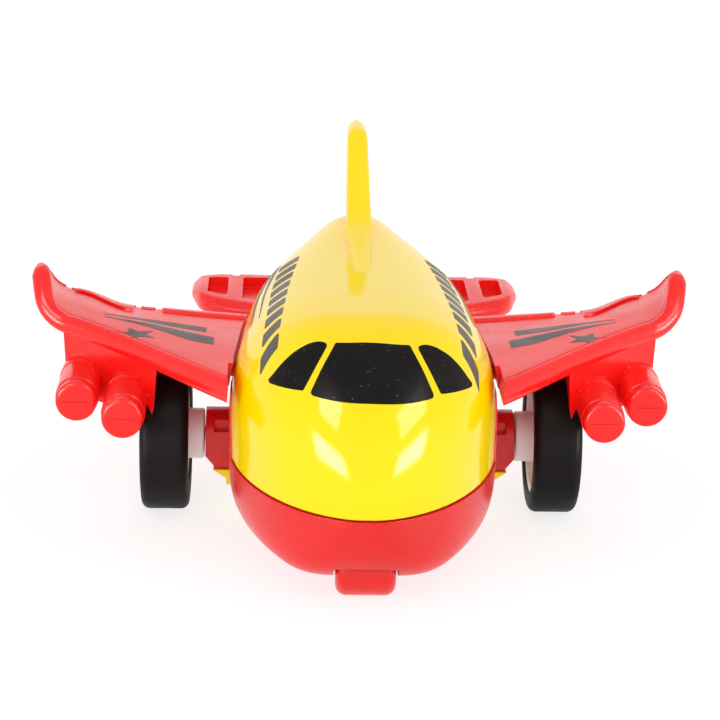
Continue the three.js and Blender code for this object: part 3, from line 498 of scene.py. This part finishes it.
def axle_cover():
    outer, half, top, low = BOX["outer"], BOX["half"], BOX["bottom"] - GAP, BELLY_Z - PROUD
    right = [(13, low + 1.4), (13, top), (outer - 1.6, top), (outer - 4.8, top - 2.2), (outer - 8, low)]
    left = [(-x, z) for x, z in right][::-1]
    cover = prism(right + left, "y", AXLE_Y - half, AXLE_Y + half)
    width = AXLE_R - 0.2
    ribs = [box(span(side, 14, outer - 4), (AXLE_Y - width, AXLE_Y + width), (low + 1, AXLE_Z - AXLE_R - GAP))
            for side in (1, -1)]
    cover = join(cover, *ribs)
    for x, y, seat, tip in COVER_SCREWS.values():
        cover = cut(cover, rod(SCREW_HEAD + 0.2, 0, seat, "z", (x, y, 0), 48),
                    rod(THROUGH_HOLE, 0, 12, "z", (x, y, 0), 24))
    return cover


piece(axle_cover(), "axle_cover_moulding", YELLOW, "airframe", ["axle_cover"])

# ------------------------------------------------------------------ wings

STRAIGHT = (WING["bend_x"] - WING["root_x"]) / math.cos(WING["dihedral"])
BEND = (WING["tip"] - WING["dihedral"]) * WING["bend"]
LENGTH = STRAIGHT + BEND + WING["rise"]


def wing_path(s):
    """The wing's middle surface seen from the front: straight, then bent up into the winglet."""
    rise, radius = WING["dihedral"], WING["bend"]
    flat = min(s, STRAIGHT)
    angle = rise + min(max((s - STRAIGHT) / radius, 0), BEND / radius)
    end = max(s - STRAIGHT - BEND, 0)
    x = (WING["root_x"] + flat * math.cos(rise) + radius * (math.sin(angle) - math.sin(rise))
         + end * math.cos(angle))
    z = (WING["root_z"] + flat * math.sin(rise) + radius * (math.cos(rise) - math.cos(angle))
         + end * math.sin(angle))
    return x, z, angle


wing_leading = curve((0, -41.6), (9, -32.2), (40, 0.3), (LENGTH - 5, 4.5), (LENGTH - 1, 9), (LENGTH, 11))
wing_trailing = curve((0, 18.6), (21.5, 18), (28.3, 18.4), (40, 27.2), (42, 27), (45.5, 24.6), (49, 20),
                      (LENGTH, 14))
flap_width = curve((0, 4.6), (22, 3.4), (23.5, 2.4), (26.3, 2.4), (27.5, 6), (40, 3.4), (44, 2.5))
FLAPS = ((0, 22.1), (27.6, 40.6))
TAB = (23.7, 26.2)


def fade(s, low, high, soft=0.35):
    return float(np.clip((s - low) / soft, 0, 1) * np.clip((high - s) / soft, 0, 1))


def wing_half(s):
    tip = math.sqrt(min(max((LENGTH - s + 0.2) / 1.6, 0), 1))
    return mix(WING["thick"], WING["tip_thick"], min(s / 44, 1)) / 2 * tip, tip


def wing_ring(s, mirror):
    x, z, angle = wing_path(s)
    half, tip = wing_half(s)
    lead, trail = float(wing_leading(s)), float(wing_trailing(s))
    back, middle = 0.55 * half, (lead + trail) / 2
    flap = max(fade(s, *ends) for ends in FLAPS)
    tab = fade(s, *TAB)
    scale = min(1.0, (trail - lead) / 10)
    deep = tip * min(1.0, max(trail - lead - 5, 0) / 3)
    width = float(flap_width(s)) * scale

    def top(y):
        return half - 0.65 * half * np.clip((y - middle) / (trail - back - middle), 0, 1)

    outline = [(lead + half * (1 - math.cos(a)), half * math.sin(a))
               for a in np.linspace(-math.pi / 2, math.pi / 2, 17)]
    bar = lead + max(half, 2.5 * scale)
    for y, drop in ((0, 0.05), (0.3, 0.25), (0.45, 1.15), (0.9, 1.2), (1.05, 0.5), (1.35, 0.3)):
        outline.append((bar + y * scale, top(bar + y * scale) - drop * deep))
    ledge = trail - width
    for y in np.linspace(bar + 1.5 * scale, ledge - 0.9 * scale, 9):
        outline.append((y, top(y) - 0.28 * deep))
    sunk, raised = 0.9 * max(flap, 0.4 * tab), 0.6 * flap + 0.2 * tab
    for y, lift in ((-0.7, 0), (-0.55, -sunk), (-0.1, -sunk), (0, 0.4 * raised), (0.15, 0.8 * raised),
                    (0.5, raised)):
        outline.append((ledge + y * scale, top(ledge + y * scale) + (lift - 0.28) * deep))
    for k in (0.5, 0.85):
        y = mix(ledge + 0.5 * scale, trail - back, k)
        outline.append((y, top(y) + (raised - 0.28) * deep * (1 - 0.3 * k)))
    for a in np.linspace(math.pi / 2, -math.pi / 2, 9):
        outline.append((trail - back * (1 - math.cos(a)), back * math.sin(a) - 0.2 * half))
    outline.append((middle, -half))
    outline = np.array(outline)
    h = outline[:, 1]
    return np.stack([mirror * (x - h * math.sin(angle)), outline[:, 0], z + h * math.cos(angle)], -1)


def wing_pocket(mirror):
    rings = []
    for s in (12, 21.5, 28.3, 36):
        x, z, angle = wing_path(s)
        ceiling = WING["tip_thick"] / 2 - 2.3
        near, far = float(wing_leading(s)) + 2.6, float(wing_trailing(s)) - 2.6
        ring = [(near, -4), (far, -4), (far, ceiling), (near, ceiling)]
        rings.append([(mirror * (x - h * math.sin(angle)), y, z + h * math.cos(angle)) for y, h in ring])
    return loft(rings)


def pod(x, z, front, back, mirror):
    """A jet pod: a drum with a rounded mouth, a step behind it and a bead where it meets its block."""
    r = POD_R
    lip = [(r - 0.8 + 0.8 * math.sin(a), front + 0.8 - 0.8 * math.cos(a))
           for a in np.linspace(0, math.pi / 2, 7)]
    bead = [(r + 0.35 * math.sin(a), front + 14.6 - 0.6 * math.cos(a)) for a in np.linspace(0, math.pi, 9)]
    profile = [(0, front)] + lip
    profile += [(r, front + 3.0), (r + 0.2, front + 3.2), (r + 0.2, front + 13.8)] + bead
    profile += [(r + 0.2, front + 15.4), (r + 0.2, back), (0, back)]
    drum = lathe(profile, "y", (mirror * x, 0, z), 72)
    line = box((mirror * x - r + 1.5, mirror * x + r - 1.5), (front - 1, front + 0.14), (z - 0.08, z + 0.08))
    return cut(drum, line)


def pylon(mirror):
    inner, outer, bottom, back = PYLON["inner"], PYLON["outer"], PYLON["bottom"], PYLON["back"]

    def level(z_at, slope):
        near, far = inner + slope, outer - slope
        front = [(x, float(wing_leading(x - WING["root_x"])) + 0.8) for x in np.linspace(near, far, 14)]
        ends = [(far, back), (near, back)]
        return [(mirror * x, y, z_at(x)) for x, y in front + ends]

    return loft([level(lambda x: bottom, 1.8), level(lambda x: bottom + 0.8, 1.1),
                 level(lambda x: bottom + 3, 0.6), level(lambda x: wing_path(x - WING["root_x"])[1], 0)])


def wing(mirror):
    stations = sorted(set(np.round(np.concatenate([
        np.arange(0, 39.5, 0.6), np.arange(39.6, LENGTH - 1.6, 0.3),
        LENGTH - 0.2 - 1.4 * np.linspace(1, 0, 10) ** 2,
        [a for low, high in FLAPS + (TAB,) for a in (low, low + 0.35, high - 0.35, high)]]), 3)))
    panel = loft([wing_ring(float(s), mirror) for s in stations])
    panel = cut(panel, copy_of(AROUND), wing_pocket(mirror),
                box(span(mirror, 0, WING["cut_x"]), (-60, WING["cut_y"]), (0, 60)))
    tongue = box(span(mirror, TONGUE["inner"], 28), (TONGUE["start"], TONGUE["end"]),
                 (TONGUE["bottom"], TONGUE["top"]))
    block = join(pylon(mirror), *[pod(**p, mirror=mirror) for p in PODS])
    room = span(mirror, WHEEL["boss_inner"], WHEEL["outer"] + 1.2)
    block = cut(block, rod(WHEEL["radius"] + 1.1, *room, "x", (0, AXLE_Y, AXLE_Z), 96))
    whole = join(panel, tongue, block)
    notches = []
    for x, width in ((40.7, 1.3), (44.8, 1.1), (59.6, 1.1)):
        start = float(wing_trailing(x - WING["root_x"])) - 1.6
        outline = rounded([(mirror * (x - width / 2), start), (mirror * (x + width / 2), start),
                           (mirror * (x + width / 2), 59), (mirror * (x - width / 2), 59)], 0.25)
        notches.append(prism(outline, "z", 0, 59))
    return cut(whole, *notches, rod(POST + GAP, 20, 50, "z", (mirror * 18, 9.6, 0), 32))


WINGS = {}
for side, mirror in SIDES:
    WINGS[side] = piece(wing(mirror), f"wing_{side}_moulding", RED, "airframe", [f"wing_{side}"],
                        30)

# ------------------------------------------------------------------ tailplane

tail_leading = curve((0, 22), (12, 27.5), (30, 37), (33, 40.5), (TAIL["span"], 47.5))
tail_trailing = curve((0, 58.5), (28, 59.5), (33, 58), (TAIL["span"], 54))


def tail_ring(x):
    far = abs(x)
    half = (TAIL["top"] - TAIL["bottom"]) / 2 * math.sqrt(min(max((TAIL["span"] + 0.1 - far) / 2, 0.05), 1))
    lead, trail = float(tail_leading(far)), float(tail_trailing(far))
    outline = [(lead + half * (1 - math.cos(a)), half * math.sin(a))
               for a in np.linspace(-math.pi / 2, math.pi / 2, 15)]
    outline += [(trail - 0.8 * half * (1 - math.cos(a)), 0.8 * half * math.sin(a))
                for a in np.linspace(math.pi / 2, -math.pi / 2, 11)]
    middle = (TAIL["top"] + TAIL["bottom"]) / 2
    return [(x, y, middle + h) for y, h in outline]


def tailplane():
    half = np.concatenate([np.linspace(0, 30, 31), np.linspace(30.4, 34.4, 11),
                           35.06 - 0.6 * np.linspace(1, 0, 6) ** 2])
    half = np.minimum(half, TAIL["span"])
    stations = np.unique(np.round(np.concatenate([-half, half]), 4))
    plane = cut(loft([tail_ring(float(x)) for x in stations]), copy_of(AROUND))
    for side in (1, -1):
        for near, far in ((12, 24.1), (27.3, 31.6)):
            corners = [(near, float(tail_leading(near)) + 4.5), (far, float(tail_leading(far)) + 4.5),
                       (far, 55.5), (near, 55.5)]
            outline = rounded([(side * x, y) for x, y in corners], 0.9)
            plane = cut(plane, prism(outline, "z", TAIL["bottom"] + 1.4, TAIL["top"] + 5))
    middle = box((-16, 16), TAIL["tongue"], (TAIL["bottom"] + 0.6, TAIL["top"] - 0.6))
    plane = join(plane, middle)
    for side in (1, -1):
        for far, half, start in ((25.7, 0.8, 57), (19.4, 0.5, 58.2)):
            x = side * far
            notch = [(x - half, start), (x + half, start), (x + half, 66), (x - half, 66)]
            plane = cut(plane, prism(rounded(notch, 0.3), "z", 20, 40))
    return cut(plane, rod(POST + GAP, 20, 40, "z", (0, 41, 0), 32))


piece(tailplane(), "tailplane_moulding", RED, "airframe", ["tailplane"], 30)

# ------------------------------------------------------------------ wheels

CENTRE = (0, AXLE_Y, AXLE_Z)


def tyre(side):
    radius, inner, outer, rim = (WHEEL[k] for k in ("radius", "inner", "outer", "rim"))
    shoulder = [(radius - 1.6 + 1.6 * math.cos(a), 1.9 - 1.6 * math.sin(a) - 0.2)
                for a in np.linspace(math.pi / 2, 0, 9)]
    half = [(rim + 0.05, 0.45), (rim + 0.5, 0.15), (rim + 1.3, 0.0), (rim + 1.9, 0.12), (radius - 1.7, 0.1)]
    half += shoulder
    half += [(radius, 2.4)]
    profile = [(r, inner + x) for r, x in half] + [(r, outer - x) for r, x in half][::-1]
    return lathe([(r, side * x) for r, x in profile], "x", CENTRE, 128)


def wheel_core(side):
    inner, outer, rim = WHEEL["inner"], WHEEL["outer"], WHEEL["rim"] - 0.1
    low, boss = WHEEL["boss_inner"], WHEEL["boss"]
    profile = [(0, low), (boss - 0.3, low), (boss, low + 0.3), (boss, inner + 2), (boss + 0.4, inner + 2.4),
               (rim - 1.8, inner + 2.4), (rim - 1.4, inner + 2), (rim - 1.4, inner + 0.8),
               (rim - 1.2, inner + 0.6), (rim, inner + 0.6), (rim, outer - 0.5), (rim - 1.2, outer - 0.5),
               (rim - 1.5, outer - 0.7), (rim - 2.2, outer - 2.6), (boss, outer - 2.6),
               (boss - 0.4, outer - 2.4), (3.8, outer - 1.1), (3.4, outer - 0.85), (0, outer - 0.7)]
    core = lathe([(r, side * x) for r, x in profile], "x", CENTRE, 96)
    return cut(core, rod(AXLE_R + 0.06, *span(side, low - 1, 41.2), "x", CENTRE, 32))


for side, mirror in SIDES:
    piece(tyre(mirror), f"tyre_{side}_rubber", RUBBER, "driven_axle", [f"tyre_{side}"], 40)
    piece(wheel_core(mirror), f"wheel_core_{side}_moulding", WHITE, "driven_axle", [f"wheel_core_{side}"],
          30)


def nose_wheel():
    r, w, k, bore = NOSE["radius"], NOSE["half"], NOSE["shoulder"], 1.1
    edge = [(r - k + k * math.cos(a), w - k + k * math.sin(a)) for a in np.linspace(math.pi / 2, 0, 13)]
    profile = [(bore, -w)] + [(q, -x) for q, x in edge] + edge[::-1] + [(bore, w)]
    return lathe(profile, "x", (0, NOSE["y"], NOSE["radius"]), 96)


# The roller takes the darker red, painted shade for its place under the chin.
piece(nose_wheel(), "nose_wheel_roller", CHASSIS_RED_PAINTED_SHADE, "nose_roller", ["nose_wheel"], 40)

# ------------------------------------------------------------------ screws


def screw(x, y, seat, tip):
    """A pan-head screw with a cross recess, its head facing down."""
    top = seat - 0.1
    low = top - 1.6
    profile = [(0, low)] + [(SCREW_HEAD - 0.9 + 0.9 * math.sin(a), low + 0.9 - 0.9 * math.cos(a))
                            for a in np.linspace(0, math.pi / 2, 8)]
    profile += [(SCREW_HEAD, top), (SCREW_SHANK, top), (SCREW_SHANK, tip - 1), (0, tip)]
    body = lathe(profile, "z", (x, y, 0), 48)
    return cut(body, box((x - 1.25, x + 1.25), (y - 0.28, y + 0.28), (low - 1, low + 0.9)),
               box((x - 0.28, x + 0.28), (y - 1.25, y + 1.25), (low - 1, low + 0.9)))


for name, (x, y, seat, joint) in BODY_SCREWS.items():
    piece(screw(x, y, seat, joint + 8), f"{name}_part", ZINC, "airframe", [name], 40)
for name, (x, y, seat, tip) in COVER_SCREWS.items():
    piece(screw(x, y, seat, tip), f"{name}_part", ZINC, "airframe", [name], 40)

# ------------------------------------------------------------------ prints


def tree_of(obj):
    mesh = obj.data
    points = np.zeros(len(mesh.vertices) * 3)
    mesh.vertices.foreach_get("co", points)
    points = points.reshape(-1, 3)
    return BVHTree.FromPolygons([Vector(p) for p in points], [tuple(f.vertices) for f in mesh.polygons])


def decal(name, outline, ray_from, direction, target, material, spacing=0.7):
    """A thin print that follows the surface it is projected on; the outline is drawn across the rays."""
    edge = []
    for i, point in enumerate(outline):
        a, b = Vector(point), Vector(outline[(i + 1) % len(outline)])
        steps = max(1, int((b - a).length / 0.5))
        edge += [a.lerp(b, k / steps) for k in range(steps)]
    low = np.min(outline, 0)
    high = np.max(outline, 0)
    inner = [Vector((x, y)) for x in np.arange(low[0], high[0], spacing)
             for y in np.arange(low[1], high[1], spacing)]
    count = len(edge)
    loop = [(i, (i + 1) % count) for i in range(count)]
    flat, _, faces = delaunay_2d_cdt(edge + inner, loop, [], 1, 1e-6)[:3]
    direction = Vector(direction)
    used = sorted({i for face in faces for i in face})
    place = {}
    top, bottom = [], []
    for i in used:
        origin = Vector(ray_from(flat[i].x, flat[i].y)) * MM
        hit, normal = target.ray_cast(origin, direction)[:2]
        if hit is None:
            continue
        if normal.dot(direction) > 0:
            normal = -normal
        place[i] = len(top)
        top.append((hit + normal * PRINT_LIFT * MM) / MM)
        bottom.append((hit - normal * PRINT_SINK * MM) / MM)
    faces = [[place[i] for i in face] for face in faces if all(i in place for i in face)]
    seen = {}
    for face in faces:
        for a, b in zip(face, face[1:] + face[:1]):
            seen[(a, b)] = seen.get((a, b), 0) + 1
    walls = [(a, b) for a, b in seen if (b, a) not in seen]
    shift = len(top)
    body = [tuple(face) for face in faces] + [tuple(i + shift for i in reversed(face)) for face in faces]
    body += [(b, a, a + shift, b + shift) for a, b in walls]
    obj = new_object(name, top + bottom, body)
    return piece(obj, name, material, "airframe", sharp=40)


SKIN_TREE = tree_of(SKIN)
TURN = math.radians(-1.2)


def on_front(points):
    """Windscreen outlines: the print sits a little to one side and slightly turned on the body."""
    c, s = math.cos(TURN), math.sin(TURN)
    return [(SCREEN_SHIFT + x * c - (z - SCREEN_Z) * s, SCREEN_Z + x * s + (z - SCREEN_Z) * c)
            for x, z in points]


def screen_pane(name, corners, radius=0.5):
    decal(name, on_front(rounded(corners, radius)), lambda x, z: (x, -75, z), (0, 1, 0), SKIN_TREE, INK)


CENTRE_PANE = [(-6.7, 45.7), (0, 46.05), (6.7, 45.7), (9.0, 42.5), (11.25, 38.15), (5.5, 37.75),
               (-5.5, 37.75), (-11.25, 38.15), (-9.0, 42.5)]
SIDE_PANE = [(8.0, 45.5), (9.6, 45.6), (11.4, 45.1), (14.0, 43.6), (16.3, 41.3), (18.6, 38.0), (18.4, 37.6),
             (12.35, 38.5), (10.2, 42.3)]
screen_pane("windscreen_centre", CENTRE_PANE, 0.6)
for side, m in SIDES:
    screen_pane(f"windscreen_{side}", [(m * x, z) for x, z in SIDE_PANE])

window_inner = curve((-37, 16.9), (-20, 15.8), (-6, 14.9), (5, 13.9), (18, 12.6))
window_outer = curve((-37, 20.1), (-21, 19.1), (-2, 18.2), (18, 16.3))
for side, m in SIDES:
    for k in range(9):
        start = -37.6 + 6.35 * k
        pane = [(start, window_inner), (start + 4.4, window_inner), (start + 2.2, window_outer),
                (max(start - 2.2, -38.4), window_outer)]
        corners = [(PRINT_SHIFT + m * float(edge(y)), y) for y, edge in pane]
        # Window prints take the lighter print, painted reflection over black ink.
        decal(f"window_{side}_{k + 1}", rounded(corners, 0.45), lambda x, y: (x, y, 80), (0, 0, -1),
              SKIN_TREE, INK_PAINTED_REFLECTION)


def stripe(name, centre, width, low, high, mirror):
    """A tapering curved stripe on the body, seen from above and running along Y."""
    y = np.linspace(low, high, 22)
    half = width(y) / 2
    right = [(PRINT_SHIFT + mirror * (c + h), v) for c, h, v in zip(centre(y), half, y)]
    left = [(PRINT_SHIFT + mirror * (c - h), v) for c, h, v in zip(centre(y), half, y)][::-1]
    # Body stripes take the lighter print, painted reflection over black ink.
    decal(name, right + left, lambda x, v: (x, v, 80), (0, 0, -1), SKIN_TREE, INK_PAINTED_REFLECTION, 0.6)


for side, m in SIDES:
    stripe(f"body_stripe_low_{side}", curve((-15, 22.1), (2, 21.2), (18, 18.4)),
           curve((-15, 0.12), (12, 1.0), (18, 1.2)), -15, 18, m)
    stripe(f"body_stripe_high_{side}", curve((-17, 20.5), (-2, 19.8), (20, 16.9)),
           curve((-17, 0.12), (14, 0.8), (20, 1.0)), -17, 20, m)


def along_x(name, upper, lower, inner_x, mirror, target):
    """A stripe on the wing between two curves, seen from above and running along X."""
    x = np.linspace(51, inner_x, 24)
    top = [(mirror * v, float(upper(v))) for v in x]
    low = [(mirror * v, float(lower(v))) for v in x][::-1]
    # Wing stripes take the lighter print, painted reflection over black ink.
    decal(name, top + low, lambda a, b: (a, b, 80), (0, 0, -1), target, INK_PAINTED_REFLECTION, 0.8)


for side, m in SIDES:
    target = tree_of(WINGS[side])
    along_x(f"wing_stripe_back_{side}", curve((30.5, 3.2), (37, 4.6), (43, 5.6), (51, 6.0)),
            curve((30.5, -0.9), (36, 0.8), (43, 3.5), (51, 5.9)), 30.5, m, target)
    along_x(f"wing_stripe_front_{side}", curve((28.8, -4.9), (36, -1.4), (42, 1.5), (51, 4.3)),
            curve((28.8, -9.9), (33, -8.2), (38, -4.1), (44, 0.4), (51, 4.2)), 28.8, m, target)
    star = []
    for k in range(10):
        angle = math.radians(65 + 36 * k)
        reach = 4.2 if k % 2 == 0 else 1.8
        star.append((m * (43.9 + reach * math.cos(angle)), -6.4 + reach * math.sin(angle)))
    # The star takes the lighter print, painted reflection over black ink.
    decal(f"wing_star_{side}", star, lambda a, b: (a, b, 80), (0, 0, -1), target, INK_PAINTED_REFLECTION)

for spare in (HOLLOW, AROUND, WITHIN, SKIN):
    bpy.data.objects.remove(spare)

# ------------------------------------------------------------------ inner works

FINISHES = {
    STEEL: ("main_axle", "layshaft", "flywheel_shaft", "flywheel", "nose_wheel_pin"),
    ZINC: ("motor_screw_top", "motor_screw_bottom"),
    GEAR: ("drive_gear", "compound_gear", "flywheel_pinion"),
    CASE: ("motor_case_left", "motor_case_right"),
}
for material, names in FINISHES.items():
    for name in names:
        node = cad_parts[name]
        node.data.materials.clear()
        node.data.materials.append(material)

# ------------------------------------------------------------------ stage, light, camera

FLOOR_REACH = 3000
corners = [(x * FLOOR_REACH, y * FLOOR_REACH, 0) for x, y in ((-1, -1), (1, -1), (1, 1), (-1, 1))]
floor = new_object("floor", corners, [(0, 1, 2, 3)])
floor.location.z = -0.00005
floor_material, tree, shader = nodes_of("paper_floor")
paper = blend_colour(tree, noise(tree, 6, 2), (0.26, 0.26, 0.26), (0.28, 0.28, 0.28))
tree.links.new(paper, shader.inputs["Base Color"])
shader.inputs["Roughness"].default_value = 0.9
shader.inputs["Specular IOR Level"].default_value = 0.1
shader.inputs["Emission Color"].default_value = (1, 1, 1, 1)
shader.inputs["Emission Strength"].default_value = 0.78
floor.data.materials.append(floor_material)

scene = bpy.context.scene
world = bpy.data.worlds.new("studio")
scene.world = world
world.use_nodes = True
sky = world.node_tree
way = add(sky, "ShaderNodeSeparateXYZ", {0: add(sky, "ShaderNodeTexCoord").outputs["Generated"]})
behind = remap(sky, way.outputs["Y"], 0.45, 1.0, 0, 0.25)
glossy = add(sky, "ShaderNodeLightPath").outputs["Is Glossy Ray"]
mirrored = add(sky, "ShaderNodeMath", {0: behind, 1: glossy}, operation="MULTIPLY")
strength = add(sky, "ShaderNodeMath", {0: mirrored.outputs[0], 1: 0.84}, operation="ADD")
sky.nodes["Background"].inputs["Color"].default_value = (1, 1, 1, 1)
sky.links.new(strength.outputs[0], sky.nodes["Background"].inputs["Strength"])


def softbox(name, azimuth, elevation, distance, size, power, shines):
    """A rectangular light seen from the nose at these angles; a card only mirrors, a fill only lights."""
    lamp = bpy.data.lights.new(name, "AREA")
    lamp.shape, lamp.size, lamp.size_y, lamp.energy = "RECTANGLE", size[0], size[1], power
    obj = bpy.data.objects.new(name, lamp)
    scene.collection.objects.link(obj)
    a, e = math.radians(azimuth), math.radians(elevation)
    way = Vector((math.sin(a) * math.cos(e), -math.cos(a) * math.cos(e), math.sin(e)))
    obj.location = Vector((0, -0.03, 0.03)) + way * distance
    obj.rotation_mode = "QUATERNION"
    obj.rotation_quaternion = way.to_track_quat("Z", "Y")
    obj.visible_diffuse = not shines
    obj.visible_glossy = shines


softbox("card_top_left", -43, 48, 0.7, (0.28, 0.28), 2.4, True)
softbox("card_top_right", 52, 42, 0.7, (0.40, 0.28), 3.2, True)
softbox("card_low_left", -45, 6, 0.8, (0.56, 0.30), 10.0, True)
softbox("card_low_right", 52, 6, 0.8, (0.50, 0.28), 8.6, True)
softbox("fill_front", 0, 20, 0.9, (0.8, 0.5), 1.6, False)
softbox("fill_left", -68, 4, 0.8, (0.6, 0.3), 1.6, False)
softbox("fill_right", 68, 4, 0.8, (0.6, 0.3), 1.6, False)

ELEVATION, YAW, ROLL = math.radians(17), math.radians(1.93), math.radians(1.2)
forward = Vector((math.sin(YAW) * math.cos(ELEVATION), math.cos(YAW) * math.cos(ELEVATION),
                  -math.sin(ELEVATION)))
right = Vector((math.cos(YAW), -math.sin(YAW), 0))
up = right.cross(forward)
lens = bpy.data.cameras.new("camera")
lens.lens, lens.sensor_width = 125.75, 36
camera = bpy.data.objects.new("camera", lens)
scene.collection.objects.link(camera)
camera.location = Vector(CENTRE) * MM - 0.5 * forward + 0.0148 * up - 0.0002 * right
camera_up = math.cos(ROLL) * up - math.sin(ROLL) * right
camera_right = math.cos(ROLL) * right + math.sin(ROLL) * up
turn = camera.matrix_world.to_3x3()
turn.col[0], turn.col[1], turn.col[2] = camera_right, camera_up, -forward
camera.rotation_mode = "QUATERNION"
camera.rotation_quaternion = turn.to_quaternion()
scene.camera = camera
scene.view_settings.view_transform = "Standard"
